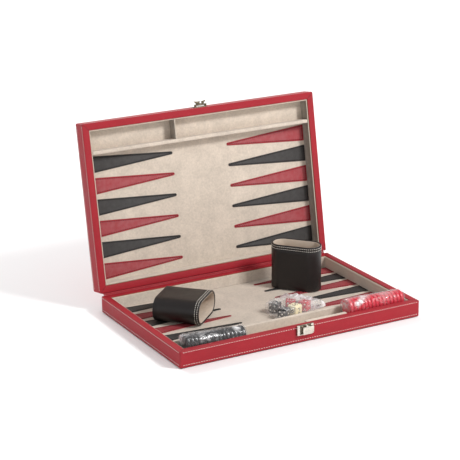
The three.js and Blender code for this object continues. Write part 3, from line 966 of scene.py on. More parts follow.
@dataclass(frozen=True)
class TraySizes:
    """Sizes that both trays share, measured from the outer panel and the outer faces."""

    length: float
    depth: float
    height: float
    corner: float = 2.5 * MM
    edge: float = 1.2 * MM
    rim_edge: float = 0.9 * MM
    leather: float = 0.8 * MM
    rim_width: float = 10.2 * MM
    glue: float = 0.3 * MM
    lining_inner: float = 12.2 * MM
    floor_bottom: float = 4.4 * MM
    floor_level: float = 5.2 * MM
    lining_drop: float = 1.2 * MM
    trough_width: float = 28.5 * MM
    rail: float = 5.2 * MM
    mitre: float = 0.35 * MM
    channel: float = 0.22 * MM
    channel_half: float = 0.55 * MM
    channel_clear: float = 0.75 * MM
    upper_row: float = 1.6 * MM
    lower_row: float = 3.6 * MM
    border_row: float = 3.4 * MM

    @property
    def trough_front(self) -> float:
        """Where the trough starts, along Y."""
        return -self.depth / 2 + self.lining_inner

    @property
    def rail_front(self) -> float:
        """The rail's face on the trough, along Y."""
        return self.trough_front + self.trough_width

    @property
    def rail_back(self) -> float:
        """The rail's face on the board, along Y."""
        return self.rail_front + self.rail

    @property
    def board_back(self) -> float:
        """The board's end at the hinge, along Y."""
        return self.depth / 2 - self.lining_inner

    @property
    def side_inner(self) -> float:
        """Half the board's length, along X."""
        return self.length / 2 - self.lining_inner

    @property
    def wall_foot(self) -> float:
        """Where what stands on the floor lining starts, along Z."""
        return self.floor_level + self.glue

    @property
    def wall_top(self) -> float:
        """The top of the linings, the rail and the divider, along Z."""
        return self.height - self.lining_drop


@dataclass(frozen=True)
class Points:
    """Sizes of the sewn leather points."""

    per_side: int = 6
    length: float = 132.5 * MM
    gap: float = 6.4 * MM
    tip: float = 2.2 * MM
    thickness: float = 0.75 * MM
    edge: float = 0.3 * MM
    row_inset: float = 2.0 * MM
    lift: float = 0.1 * MM
    channel: float = 0.3 * MM
    channel_half: float = 0.7 * MM
    channel_clear: float = 0.95 * MM
    thread_sunk: float = 0.2 * MM
    end_radius: float = 0.15 * MM
    tip_steps: int = 8


class Tray:
    """One tray of the case: leather, linings, rail and points."""

    def __init__(self, kind: TrayKind, matrix: Matrix, red_on_left: bool) -> None:
        """Take the tray's size from the base's cover.

        Args:
            kind: Which tray it is.
            matrix: From the tray's own frame to the case's.
            red_on_left: Whether the left side's first point, at the hinge, is red.
        """
        low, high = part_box("base_cover")
        size = high - low
        self.kind = kind
        self.name = kind.value
        self.matrix = matrix
        self.red_on_left = red_on_left
        self.sizes = TraySizes(size.x, size.y, size.z)
        self.points = Points()

    def put(self, piece: bpy.types.Object, finish: Finish, *nodes: str) -> bpy.types.Object:
        """Move a piece from the tray's frame to its place, and settle it on the tray.

        Args:
            piece: The piece.
            finish: Its finish.
            *nodes: The CAD nodes that it replaces.

        Returns:
            The same piece.
        """
        piece.data.transform(self.matrix)
        return settle(piece, self.name, finish, *nodes)

    def cover(self) -> None:
        """The leather skin, with its rounded edges, sewing channels and mitred rim."""
        sizes = self.sizes
        top = sizes.height
        profile = [(sizes.rim_width, top - sizes.leather), (sizes.rim_width, top - 0.35 * MM)]
        profile += [(sizes.rim_width - 0.12 * MM, top - 0.1 * MM), (sizes.rim_width - 0.4 * MM, top)]
        profile += [(sizes.rim_edge * 1.6, top)]
        profile += quarter(sizes.rim_edge, top - sizes.rim_edge, sizes.rim_edge, 90)
        half, clear = sizes.channel_half, sizes.channel_clear
        for height in (top - sizes.upper_row, sizes.lower_row):
            profile += [(0, height + clear), (0, height + half), (sizes.channel, height)]
            profile += [(0, height - half), (0, height - clear)]
        profile += quarter(sizes.edge, sizes.edge, sizes.edge, 180)
        if self.kind is TrayKind.LID:
            row = sizes.border_row
            profile += [(row - clear, 0), (row - half, 0), (row, sizes.channel)]
            profile += [(row + half, 0), (row + clear, 0)]
        profile += [(sizes.length / 8, 0)]
        inner = [(sizes.length / 8, sizes.leather), (sizes.leather, sizes.leather)]
        inner += [(sizes.leather, top - sizes.leather)]
        arc_steps = 6
        rings = layers(sizes.length, sizes.depth, sizes.corner, profile, arc_steps)
        for ring in rings[3:7]:
            for corner in range(4):
                ring[corner * (arc_steps + 1) + arc_steps // 2].z -= sizes.mitre
        sheet = layers(sizes.length, sizes.depth, sizes.corner, inner, arc_steps)
        draft = Draft()
        draft.rings(rings)
        draft.faces.pop(-2)
        start = len(draft.corners)
        draft.rings(sheet)
        draft.faces.pop(-1)
        count = len(rings[-1])
        draft.faces += [(index, (index + 1) % count, start + 2 * count + (index + 1) % count,
                         start + 2 * count + index) for index in range(count)]
        self.put(draft.finish(f"{self.name}_leather_cover", 50), RED_LEATHER, f"{self.name}_cover")

    def mitre_shadows(self) -> None:
        """A dark strip, painted shadow in the seam where the rim's leather meets at each corner."""
        sizes = self.sizes
        start, end = 0.9 * MM, sizes.rim_width - 0.3 * MM
        run = (end - start) * math.sqrt(2)
        draft = Draft()
        for side_x in (-1, 1):
            for side_y in (-1, 1):
                inset = (start + end) / 2
                spot = Vector((side_x * (sizes.length / 2 - inset), side_y * (sizes.depth / 2 - inset),
                               sizes.height))
                matrix = Matrix.Translation(spot) @ Matrix.Rotation(side_x * side_y * math.pi / 4, 4, "Z")
                ring = outline(run, 0.5 * MM, 0.2 * MM, 3)
                draft.rings([raised(ring, level) for level in (-0.4 * MM, 0.05 * MM)], matrix=matrix)
        self.put(draft.finish(f"{self.name}_mitre_seam_shadows", 50), SEAM_SHADOW)

    def sewing(self) -> None:
        """The white rows round the sides, and round the lid's outer panel."""
        sizes = self.sizes
        rows = SewingLine()
        clear = sizes.corner + 1 * MM
        half_x, half_y = sizes.length / 2, sizes.depth / 2
        for height in (sizes.height - sizes.upper_row, sizes.lower_row):
            inset = sizes.channel * 0.6
            for side in (-1, 1):
                if side < 0 or height < sizes.height / 2:
                    rows.straight(Vector((-half_x + clear, side * (half_y - inset), height)),
                                  Vector((half_x - clear, side * (half_y - inset), height)),
                                  Vector((0, side, 0)))
                rows.straight(Vector((side * (half_x - inset), -half_y + clear, height)),
                              Vector((side * (half_x - inset), half_y - clear, height)), Vector((side, 0, 0)))
        if self.kind is TrayKind.LID:
            reach_x, reach_y = half_x - sizes.border_row, half_y - sizes.border_row
            level = sizes.channel * 0.6
            for side in (-1, 1):
                rows.straight(Vector((-reach_x + clear, side * reach_y, level)),
                              Vector((reach_x - clear, side * reach_y, level)), Vector((0, 0, -1)))
                rows.straight(Vector((side * reach_x, -reach_y + clear, level)),
                              Vector((side * reach_x, reach_y - clear, level)), Vector((0, 0, -1)))
        self.put(rows.draft.finish(f"{self.name}_sewing", 180), WHITE_THREAD)

    def floor_lining(self) -> None:
        """The suede on the floor."""
        sizes = self.sizes
        inset = sizes.rim_width + sizes.glue
        draft = Draft()
        profile = slab_profile(sizes.floor_bottom, sizes.floor_level, 0.25 * MM)
        draft.rings(layers(sizes.length - 2 * inset, sizes.depth - 2 * inset, 0.5 * MM, profile))
        self.put(draft.finish(f"{self.name}_suede_floor"), SUEDE, f"{self.name}_floor_lining")

    def wall_lining(self) -> None:
        """The suede-covered boards on the four walls, round at their upper edge."""
        sizes = self.sizes
        outer, inner = sizes.rim_width + sizes.glue, sizes.lining_inner
        bottom, top = sizes.wall_foot, sizes.wall_top
        radius = (inner - outer) / 2
        profile = [(outer, bottom), (outer, top - radius)]
        for step in range(1, 8):
            angle = math.pi * (1 - step / 8)
            across, up = radius * math.cos(angle), radius * math.sin(angle)
            profile.append((outer + radius + across, top - radius + up))
        profile += [(inner, top - radius), (inner, bottom)]
        draft = Draft()
        draft.rings(layers(sizes.length, sizes.depth, 0.4 * MM, profile, arc_steps=2), loop=True)
        # The lid's linings get painted shade on faces turned to the left.
        finish = LID_SUEDE_LEFT_SHADED if self.kind is TrayKind.LID else SUEDE
        self.put(draft.finish(f"{self.name}_suede_walls", 60), finish, f"{self.name}_wall_lining")

    def rail(self) -> None:
        """The suede-covered rail between the board and the trough."""
        sizes = self.sizes
        reach = sizes.side_inner - sizes.glue
        low = Vector((-reach, sizes.rail_front, sizes.wall_foot))
        high = Vector((reach, sizes.rail_back, sizes.wall_top))
        draft = Draft()
        slab(draft, low, high, 1.1 * MM)
        self.put(draft.finish(f"{self.name}_suede_rail", 60), SUEDE, f"{self.name}_rail")

    @property
    def pitch(self) -> float:
        """From one point to the next, along Y."""
        return (self.sizes.board_back - self.sizes.rail_back) / self.points.per_side

    def point_matrix(self, side: str, number: int, level: float) -> Matrix:
        """Where a point goes in the tray.

        Args:
            side: Left or right, as the player sees it.
            number: Its place, counted from the hinge.
            level: Its height in the tray.

        Returns:
            The matrix.
        """
        sizes = self.sizes
        at_plus_x = (side == "right") == (self.kind is TrayKind.BASE)
        x = (1 if at_plus_x else -1) * (sizes.side_inner - sizes.glue)
        spot = Vector((x, sizes.board_back - (number - 0.5) * self.pitch, level))
        return Matrix.Translation(spot) @ Matrix.Rotation(math.pi if at_plus_x else 0, 4, "Z")

    def is_red(self, side: str, number: int) -> bool:
        """Whether a point is red; the colours alternate from the hinge on."""
        return (number % 2 == 1) == (self.red_on_left == (side == "left"))

    def point_loop(self, inset: float) -> list[Vector]:
        """A point's outline, its foot at X 0 and its tip at +X, drawn in on all sides.

        Args:
            inset: How far it is drawn in.

        Returns:
            The outline's corners.
        """
        points = self.points
        half = (self.pitch - points.gap) / 2
        centre = points.length - points.tip
        slope = math.atan2(half, centre) - math.asin(points.tip / math.hypot(centre, half))
        touch = math.pi / 2 - slope
        radius = max(points.tip - inset, points.end_radius)
        start_y = half - inset / math.cos(slope) - inset * math.tan(slope)
        loop = [Vector((inset, start_y, 0)), Vector((inset, -start_y, 0))]
        for step in range(points.tip_steps + 1):
            angle = -touch + 2 * touch * step / points.tip_steps
            loop.append(Vector((centre + radius * math.cos(angle), radius * math.sin(angle), 0)))
        return loop

    def point(self, side: str, number: int) -> None:
        """One leather point, with its sewn channel and its darker border.

        Args:
            side: Left or right, as the player sees it.
            number: Its place, counted from the hinge.
        """
        points = self.points
        matrix = self.point_matrix(side, number, self.sizes.floor_level + points.lift)
        top, edge, row, half = points.thickness, points.edge, points.row_inset, points.channel_half
        profile = [(0, 0), (0, top - edge), (edge * 0.3, top - edge * 0.3), (edge, top), (row - half, top),
                   (row, top - points.channel), (row + half, top), (row + points.channel_clear, top)]
        rings = [raised(self.point_loop(inset), height) for inset, height in profile]
        draft = Draft()
        draft.rings(rings, matrix=matrix)
        name = f"{self.name}_point_{side}_{number}"
        reds, charcoals = (POINT_RED, RED_BORDER), (CHARCOAL_LEATHER, CHARCOAL_BORDER)
        finish, border = reds if self.is_red(side, number) else charcoals
        piece = self.put(draft.finish(f"{name}_leather", 50), finish, name)
        piece.data.materials.append(border.material())
        outside = len(rings[0]) * (len(profile) - 3)
        for face in piece.data.polygons[:outside]:
            face.material_index = 1

    def point_sewing(self) -> None:
        """The thread round every point, in the leather's own colour."""
        points = self.points
        level = self.sizes.floor_level + points.lift + points.thickness - points.thread_sunk
        sides = ("left", "right") if self.kind is TrayKind.BASE else ("right", "left")
        for red, finish, word in ((True, RED_THREAD, "red"), (False, CHARCOAL_THREAD, "charcoal")):
            rows = SewingLine(length=2.0 * MM, pitch=3.6 * MM, radius=0.55 * MM)
            for side in sides:
                for number in range(1, points.per_side + 1):
                    if self.is_red(side, number) == red:
                        matrix = self.point_matrix(side, number, level)
                        loop = [matrix @ point for point in self.point_loop(points.row_inset)]
                        rows.round(loop, lambda run: Vector((0, 0, 1)))
            self.put(rows.draft.finish(f"{self.name}_{word}_point_sewing", 180), finish)

    def all_points(self) -> None:
        """Six points from each short side."""
        for side in ("left", "right"):
            for number in range(1, self.points.per_side + 1):
                self.point(side, number)

    def boards(self) -> None:
        """The hidden boards keep their shape and get their wood."""
        for node in (f"{self.name}_panel", f"{self.name}_frame"):
            dress_node(node, BOARD)

    def build(self) -> None:
        """Make the whole tray."""
        self.cover()
        self.mitre_shadows()
        self.sewing()
        self.floor_lining()
        self.wall_lining()
        self.rail()
        self.all_points()
        self.point_sewing()
        self.boards()


def dress_node(node: str, finish: Finish) -> None:
    """Give a CAD node that stays its finish.

    Args:
        node: The node's name.
        finish: Its finish.
    """
    shown = frame["nodes"][node]
    for place in shown.material_slots:
        place.material = finish.material()
    if not shown.material_slots:
        shown.data.materials.append(finish.material())
    LOG.info("%s keeps its shape in %s", node, finish.name)


@dataclass
class CaseFittings:
    """What only one tray has: the backing sheet, the latch block and the lid's divider."""

    lid: Tray
    divider_x: float = 44.4 * MM
    divider_half: float = 1.2 * MM

    def backing(self) -> None:
        """The sheet under the base, black as painted contact shadow along its lower edge."""
        low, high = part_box("base_underside")
        draft = Draft()
        slab(draft, low, high, 0.2 * MM, 1.2 * MM)
        settle(draft.finish("base_backing_sheet"), "base", BACKING_CONTACT_SHADOW, "base_underside")

    def latch_block(self) -> None:
        """The covered block that stiffens the wall behind the latch."""
        low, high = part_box("base_latch_block")
        draft = Draft()
        slab(draft, low, high, 1 * MM)
        settle(draft.finish("base_suede_block", 60), "base", SUEDE, "base_latch_block")

    def divider(self) -> None:
        """The divider across the lid's trough."""
        sizes = self.lid.sizes
        x, half = self.divider_x, self.divider_half
        low = Vector((x - half, sizes.trough_front + sizes.glue, sizes.wall_foot))
        high = Vector((x + half, sizes.rail_front - sizes.glue, sizes.wall_top))
        draft = Draft()
        slab(draft, low, high, 1 * MM)
        # Its faces turned to the left get painted shade.
        self.lid.put(draft.finish("lid_suede_divider", 60), LID_SUEDE_LEFT_SHADED, "lid_divider")

    def build(self) -> None:
        """Make all three."""
        self.backing()
        self.latch_block()
        self.divider()


# ---- the hinge -------------------------------------------------------------------------------


@dataclass
class LeatherHinge:
    """A leather strip along both rear faces, folded to a bead on the bending line."""

    axis: Vector
    row: float = 2.4 * MM
    sewing_end: float = 3 * MM
    bead_steps: int = 90
    bead_sides: int = 14

    def flap(self, tray: Tray) -> None:
        """The strip's flap on one tray, drawn up to the bead and sewn along its free edge.

        Args:
            tray: The tray that it is glued to.
        """
        low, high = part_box("hinge_flap_base")
        rear = tray.sizes.depth / 2 + tray.sizes.glue
        rim = tray.sizes.height
        foot = rim - (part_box("base_cover")[1].z - low.z)
        thick = high.y - low.y
        length = high.x - low.x
        bead_y = self.axis.y
        bead_z = rim + self.axis.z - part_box("base_cover")[1].z
        section = [(rear, foot), (rear, rim - 1.2 * MM), (rear + 0.1 * MM, rim - 0.3 * MM)]
        section += [(bead_y - 0.75 * MM, bead_z - 0.75 * MM)]
        section += [(bead_y - 0.05 * MM, bead_z - 1.05 * MM), (rear + thick, rim - 0.6 * MM)]
        section += [(rear + thick, rim - 1.6 * MM), (rear + thick, foot + 0.3 * MM)]
        section += [(rear + thick * 0.6, foot)]
        ends = (-length / 2, -length / 2 + 0.4 * MM, length / 2 - 0.4 * MM, length / 2)
        rings = [[Vector((x, y, z)) for y, z in section] for x in ends]
        draft = Draft()
        draft.rings(rings)
        name = tray.name
        tray.put(draft.finish(f"hinge_strip_{name}", 50), RED_LEATHER, f"hinge_flap_{name}")
        rows = SewingLine()
        level = foot + self.row
        reach = length / 2 - self.sewing_end
        rows.straight(Vector((-reach, rear + thick, level)), Vector((reach, rear + thick, level)),
                      Vector((0, 1, 0)))
        tray.put(rows.draft.finish(f"hinge_sewing_{name}", 180), WHITE_THREAD)

    def bead(self) -> None:
        """The folded bead, a little uneven along its length."""
        low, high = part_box("hinge_bead")
        radius = (high.z - low.z) / 2
        rings = []
        around = [math.tau * side / self.bead_sides for side in range(self.bead_sides)]
        for step in range(self.bead_steps + 1):
            x = low.x + (high.x - low.x) * step / self.bead_steps
            at_end = step in (0, self.bead_steps)
            share = 0.55 if at_end else 0.9 + 0.08 * noise.noise(Vector((x * 60, 0, 0)))
            rings.append([Vector((x, self.axis.y + radius * share * math.cos(angle),
                                  self.axis.z + radius * share * math.sin(angle))) for angle in around])
        draft = Draft()
        draft.rings(rings)
        settle(draft.finish("hinge_bead_leather", 60), "hinge", RED_LEATHER, "hinge_bead")

    def build(self, base: Tray, lid: Tray) -> None:
        """Make the strip.

        Args:
            base: The base tray.
            lid: The lid tray.
        """
        self.flap(base)
        self.flap(lid)
        self.bead()


# ---- the metalwork ---------------------------------------------------------------------------


@dataclass(frozen=True)
class Metalwork:
    """The latch on the base and the hasp on the lid: stamped pieces with broken edges and rivets."""

    tab_proud: float = 3.2 * MM
    rivet_from_side: float = 1.9 * MM
    rivet_from_end: float = 3.2 * MM
    ribs: int = 4
    rib_start: float = 4.2 * MM
    rib_pitch: float = 1.6 * MM
    rib_width: float = 0.7 * MM
    rib_margin: float = 4.2 * MM

    def bevelled(self, node: str, body: str, width: float, finish: Finish = NICKEL,
                 keep: float = 30.0) -> bpy.types.Object:
        """Make a piece from a CAD node's shape, with its edges broken.

        Args:
            node: The CAD node.
            body: The body that it rides on.
            width: The width of the broken edges.
            finish: Its finish.
            keep: Edges flatter than this, in degrees, stay as they are.

        Returns:
            The new piece.
        """
        mesh = bpy.data.meshes.new(f"{node}_metal")
        work = bmesh.new()
        work.from_mesh(frame["nodes"][node].data)
        bmesh.ops.remove_doubles(work, verts=work.verts, dist=1e-6)
        bmesh.ops.dissolve_limit(work, angle_limit=math.radians(1), verts=work.verts, edges=work.edges)
        sharp = [edge for edge in work.edges
                 if len(edge.link_faces) == 2 and edge.calc_face_angle(0) > math.radians(keep)]
        bmesh.ops.bevel(work, geom=sharp, offset=width, segments=2, profile=0.5, affect="EDGES",
                        clamp_overlap=True)
        bmesh.ops.recalc_face_normals(work, faces=work.faces)
        work.to_mesh(mesh)
        work.free()
        mesh.shade_smooth()
        mesh.set_sharp_from_angle(angle=math.radians(35))
        piece = bpy.data.objects.new(f"{node}_metal", mesh)
        bpy.context.scene.collection.objects.link(piece)
        return settle(piece, body, finish, node)

    def rivets(self) -> None:
        """Round heads on the latch's tab."""
        head: Profile = [(0.02 * MM, -0.1 * MM), (0.82 * MM, -0.1 * MM), (0.8 * MM, 0.08 * MM),
                         (0.65 * MM, 0.28 * MM), (0.35 * MM, 0.4 * MM), (0.02 * MM, 0.42 * MM)]
        low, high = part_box("latch_case")
        tab_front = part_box("base_cover")[0].y - self.tab_proud
        forward = Matrix.Rotation(math.pi / 2, 4, "X")
        draft = Draft()
        for height in (low.z + self.rivet_from_end, high.z - self.rivet_from_end):
            spot = Matrix.Translation((low.x + self.rivet_from_side, tab_front, height))
            turned(draft, head, spot @ forward, 16)
        settle(draft.finish("latch_rivets", 50), "base", NICKEL)

    def thumb_grooves(self) -> None:
        """Raised ribs on the button's face, for the thumb."""
        low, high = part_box("latch_slider")
        draft = Draft()
        for index in range(self.ribs):
            x = low.x + self.rib_start + self.rib_pitch * index
            slab(draft, Vector((x, low.y - 0.12 * MM, low.z + self.rib_margin)),
                 Vector((x + self.rib_width, low.y + 0.15 * MM, high.z - self.rib_margin)), 0.1 * MM)
        settle(draft.finish("latch_button_ribs", 50), "latch_button", NICKEL)

    def build(self) -> None:
        """Make every metal piece."""
        # The plate seen between the latch's parts gets painted shade.
        self.bevelled("latch_plate", "base", 0.18 * MM, SHADED_NICKEL)
        case = self.bevelled("latch_case", "base", 0.16 * MM)
        case.data.materials.append(SHADED_NICKEL.material())
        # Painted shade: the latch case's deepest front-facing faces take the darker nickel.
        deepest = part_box("latch_case")[1].y - 1 * MM
        for face in case.data.polygons:
            if face.center.y > deepest and face.normal.y < -0.9:
                face.material_index = 1
        self.bevelled("latch_slider", "latch_button", 0.28 * MM)
        self.bevelled("hasp_leaf", "lid", 0.15 * MM, HASP_NICKEL)
        self.bevelled("hasp_pin", "lid", 0.12 * MM, HASP_NICKEL, 50)
        self.bevelled("hasp_plate", "hasp", 0.12 * MM, HASP_NICKEL)
        self.rivets()
        self.thumb_grooves()


# ---- the dice cups ---------------------------------------------------------------------------


@dataclass
class DiceCup:
    """An oval leather dice cup with a suede lining, double sewn round its mouth."""

    body: str
    matrix: Matrix
    width: float = 75.5 * MM
    thickness: float = 35 * MM
    height: float = 68 * MM
    wall: float = 2 * MM
    floor: float = 2.2 * MM
    lining: float = 1 * MM
    glue: float = 0.3 * MM
    lining_drop: float = 0.8 * MM
    rows: tuple[float, float] = (2.8 * MM, 6.2 * MM)
    waist: float = 0.35 * MM

    def section(self, inset: float, height: float) -> list[Vector]:
        """One oval ring, drawn in a little at mid height as stiff leather is.

        Args:
            inset: How far it is drawn in.
            height: Its height.

        Returns:
            The ring's corners.
        """
        share = min(max(height / self.height, 0), 1)
        drawn = inset + self.waist * math.sin(math.pi * share)
        radius = self.thickness / 2 - drawn
        ring = outline(self.width - 2 * drawn, self.thickness - 2 * drawn, radius - 0.05 * MM, 10, 6)
        return raised(ring, height)

    def shell(self) -> None:
        """The leather outside, with a rolled mouth and a raised seam at its foot."""
        top, foot = self.height, 1.4 * MM
        profile = [(8 * MM, self.floor), (self.wall, self.floor), (self.wall, top * 0.3),
                   (self.wall, top * 0.6), (self.wall, top - 0.9 * MM)]
        profile += [(1.6 * MM, top - 0.25 * MM), (1.0 * MM, top), (0.45 * MM, top - 0.2 * MM),
                    (0.1 * MM, top - 0.8 * MM)]
        for row in self.rows:
            profile += [(0, top - row + 0.6 * MM), (0.2 * MM, top - row), (0, top - row - 0.6 * MM)]
        profile += [(0, top * share) for share in (0.8, 0.65, 0.5, 0.35, 0.2, 0.1)]
        profile += [(0, foot + 0.5 * MM), (0.25 * MM, foot), (0.05 * MM, foot - 0.45 * MM),
                    (0.2 * MM, 0.35 * MM), (0.8 * MM, 0), (8 * MM, 0)]
        draft = Draft()
        draft.rings([self.section(inset, height) for inset, height in profile], matrix=self.matrix)
        name = self.body
        settle(draft.finish(f"{name}_leather", 50), name, CUP_LEATHER, f"{name}_shell")

    def suede(self) -> None:
        """The lining inside, in suede darkened as painted shade."""
        outer = self.wall + self.glue
        inner = outer + self.lining
        bottom, top = self.floor + self.glue, self.height - self.lining_drop
        profile = [(8 * MM, bottom + self.lining), (inner + 1 * MM, bottom + self.lining),
                   (inner, bottom + self.lining + 1 * MM), (inner, top * 0.35), (inner, top * 0.7),
                   (inner, top - 0.4 * MM), ((inner + outer) / 2, top), (outer, top - 0.4 * MM),
                   (outer, top * 0.6), (outer, top * 0.3), (outer, bottom), (8 * MM, bottom)]
        draft = Draft()
        draft.rings([self.section(inset, height) for inset, height in profile], matrix=self.matrix)
        name = self.body
        settle(draft.finish(f"{name}_suede", 60), name, CUP_SUEDE_SHADED, f"{name}_lining")

    def sewing(self) -> None:
        """Two rows round the mouth."""
        rows = SewingLine(length=2.2 * MM, pitch=3.1 * MM)
        for row in self.rows:
            loop = [self.matrix @ point for point in self.section(0.12 * MM, self.height - row)]
            up = self.matrix.to_3x3() @ Vector((0, 0, 1))
            rows.round(loop, lambda run, up=up: run.cross(up))
        settle(rows.draft.finish(f"{self.body}_sewing", 180), self.body, CUP_THREAD)

    def build(self) -> None:
        """Make the cup."""
        self.shell()
        self.suede()
        self.sewing()


# ---- the checkers ----------------------------------------------------------------------------


# Painted highlight spots on each stack's film: along, across, up, reach and brightness.
BLACK_FILM_HIGHLIGHTS = (
    (0.86, -0.15, 0.46, 8 * MM, 1.0),
    (0.25, -0.4, 0.3, 7 * MM, 0.6),
    (0.36, -0.4, 0.3, 6 * MM, 0.65),
    (0.48, -0.38, 0.32, 7 * MM, 0.5),
    (0.0, 0.1, 0.3, 13 * MM, 0.7),
    (0.3, 0.2, 0.46, 26 * MM, 0.35),
)
RED_FILM_HIGHLIGHTS = (
    (0.13, -0.4, 0.26, 6 * MM, 0.9),
    (0.2, -0.33, 0.37, 6 * MM, 0.95),
    (0.27, -0.2, 0.46, 7 * MM, 0.85),
    (0.3, 0.0, 0.5, 13 * MM, 0.6),
    (0.0, 0.0, 0.2, 13 * MM, 0.6),
    (0.65, 0.2, 0.46, 24 * MM, 0.4),
)


@dataclass
class CheckerStack:
    """Fifteen checkers lying on edge in the trough, in a sleeve of clear film.

    Each of the film's painted highlight spots is its place as a share of the stack's length, across and up
    as shares of the diameter, then its reach and how bright the painted highlight is there.
    """

    body: str
    finish: Finish
    left_lift: float
    right_lift: float
    thinnest: float
    seed: float
    highlight_spots: tuple[tuple[float, float, float, float, float], ...]
    count: int = 15
    thickness: float = 6 * MM
    diameter: float = 25 * MM
    slip: float = 0.28 * MM

    @property
    def node(self) -> str:
        """The CAD node that stands for the fifteen checkers."""
        return f"checker_stack_{self.body.split('_')[0]}"

    @property
    def length(self) -> float:
        """The stack's length."""
        return self.count * self.thickness

    def matrix(self) -> Matrix:
        """From the stack's frame, with its axis along +X from its left end, to the case's.

        Returns:
            The matrix.
        """
        length = self.length
        tilt = math.atan2(self.left_lift - self.right_lift, length)
        left = middle_of(self.node) + Vector((-math.cos(tilt), 0, math.sin(tilt))) * (length / 2)
        return Matrix.Translation(left) @ Matrix.Rotation(tilt, 4, "Y")

    def checker_profile(self) -> Profile:
        """A checker's section: a round rim, a groove inside it and a shallow dish.

        Returns:
            Radius and height of each ring.
        """
        radius, thick = self.diameter / 2, self.thickness - 0.12 * MM
        face = [(0.05 * MM, 0.7 * MM), (radius * 0.42, 0.55 * MM), (radius * 0.62, 0.5 * MM),
                (radius * 0.66, 0.1 * MM), (radius * 0.84, 0.02 * MM)]
        rim = [(radius - 1.5 * MM, 0.12 * MM), (radius - 0.75 * MM, 0.5 * MM),
               (radius - 0.25 * MM, 1.15 * MM), (radius - 0.05 * MM, 2.0 * MM), (radius - 0.05 * MM, thick / 2)]
        half = face + rim
        return half + [(r, thick - z) for r, z in reversed(half[:-1])]

    def checkers(self) -> None:
        """The fifteen checkers, a little out of line with each other."""
        draft = Draft()
        profile = self.checker_profile()
        for index in range(self.count):
            step = Vector((index * self.thickness + 0.06 * MM, 0, 0))
            step.y = self.slip * noise.noise(Vector((index * 1.7, self.seed, 0)))
            step.z = self.slip * noise.noise(Vector((index * 2.3, self.seed, 5)))
            matrix = self.matrix() @ Matrix.Translation(step) @ Matrix.Rotation(math.pi / 2, 4, "Y")
            turned(draft, profile, matrix, 40)
        settle(draft.finish(f"{self.body}_pieces", 35), self.body, self.finish, self.node)

    def film_ring(self, along: float, share: float) -> list[Vector]:
        """One ring of the film.

        Args:
            along: Its place along the stack's axis.
            share: How open the sleeve is there, from 0 to 1.

        Returns:
            The ring's corners.
        """
        radius = self.diameter / 2 + 0.4 * MM
        ring = []
        for side in range(56):
            angle = math.tau * side / 56
            y, z = math.cos(angle), math.sin(angle)
            ridge = noise.noise(Vector((along * 130, y * 2.2, z * 2.2 + self.seed)))
            fine = noise.noise(Vector((along * 420, y * 6, z * 6 + self.seed)))
            upward = max(0.0, z)
            lift = 0.3 * MM + 0.4 * MM * abs(ridge) + 0.25 * MM * fine + 1.1 * MM * upward * max(0.0, ridge)
            reach = (radius + lift) * share
            ring.append(Vector((along, reach * y, reach * z)))
        return ring

    def film(self) -> None:
        """The sleeve, folded flat over both ends."""
        length = self.length
        steps = 60
        stations = [(-2.6 * MM, 0.25), (-2.4 * MM, 0.7), (-1.5 * MM, 0.96)]
        stations += [(length * step / steps, 1.0) for step in range(1, steps)]
        stations += [(length + 0.5 * MM, 1.0), (length + 0.9 * MM, 0.8), (length + 1.0 * MM, 0.3)]
        matrix = self.matrix()
        draft = Draft()
        draft.rings([self.film_ring(along, share) for along, share in stations], matrix=matrix)
        wide = self.diameter
        highlight_patches = tuple((matrix @ Vector((along * length, across * wide, up * wide)), reach, highlight)
                        for along, across, up, reach, highlight in self.highlight_spots)
        finish = Film(f"{self.body} film", "clear_film", (0.9, 0.88, 0.88), thinnest=self.thinnest,
                      stretch=(0.45, 1.0, 1.0), highlight_patches=highlight_patches)
        settle(draft.finish(f"{self.body}_film", 180), self.body, finish)

    def build(self) -> None:
        """Make the stack and its film."""
        self.checkers()
        self.film()


# ---- the dice and their bag --------------------------------------------------------------------


DIE_SIZE = 14 * MM
DICE = (
    ("die_black_1", 28, BLACK_DIE, 5),
    ("die_black_2", 40, BLACK_DIE, 3),
    ("die_red_1", 55, RED_DIE, 6),
    ("die_red_2", 34, RED_DIE, 2),
)
PIP_SPOTS: dict[int, tuple[tuple[int, int], ...]] = {
    1: ((0, 0),),
    2: ((-1, -1), (1, 1)),
    3: ((-1, -1), (0, 0), (1, 1)),
    4: ((-1, -1), (-1, 1), (1, -1), (1, 1)),
    5: ((-1, -1), (-1, 1), (0, 0), (1, -1), (1, 1)),
    6: ((-1, -1), (-1, 0), (-1, 1), (1, -1), (1, 0), (1, 1)),
}


@dataclass
class Cube:
    """A die or the doubling cube, lying in the bag."""

    node: str
    size: float
    turn: float
    finish: Finish
    round_edge: float = 1.5 * MM

    def matrix(self) -> Matrix:
        """From the cube's own frame to the case's."""
        return Matrix.Translation(middle_of(self.node)) @ Matrix.Rotation(math.radians(self.turn), 4, "Z")

    def faces(self) -> list[Matrix]:
        """The six faces, each with its outside at +Z, in the order 1, 2, 3, 4, 5, 6.

        Returns:
            A matrix for each face.
        """
        quarter_turn = math.pi / 2
        turns = [Matrix.Identity(4), Matrix.Rotation(quarter_turn, 4, "X"),
                 Matrix.Rotation(quarter_turn, 4, "Y"), Matrix.Rotation(-quarter_turn, 4, "Y"),
                 Matrix.Rotation(-quarter_turn, 4, "X"), Matrix.Rotation(math.pi, 4, "X")]
        lift = Matrix.Translation((0, 0, self.size / 2))
        return [self.matrix() @ turn @ lift for turn in turns]

    def block(self) -> None:
        """The cube, with well rounded edges."""
        draft = Draft()
        work = bmesh.new()
        bmesh.ops.create_cube(work, size=self.size)
        bmesh.ops.bevel(work, geom=list(work.edges), offset=self.round_edge, segments=4, profile=0.5,
                        affect="EDGES")
        bmesh.ops.recalc_face_normals(work, faces=work.faces)
        work.verts.index_update()
        corners = [vert.co.copy() for vert in work.verts]
        faces = [[vert.index for vert in face.verts] for face in work.faces]
        work.free()
        draft.add(corners, faces, self.matrix())
        settle(draft.finish(f"{self.node}_cube", 60), "dice", self.finish, self.node)


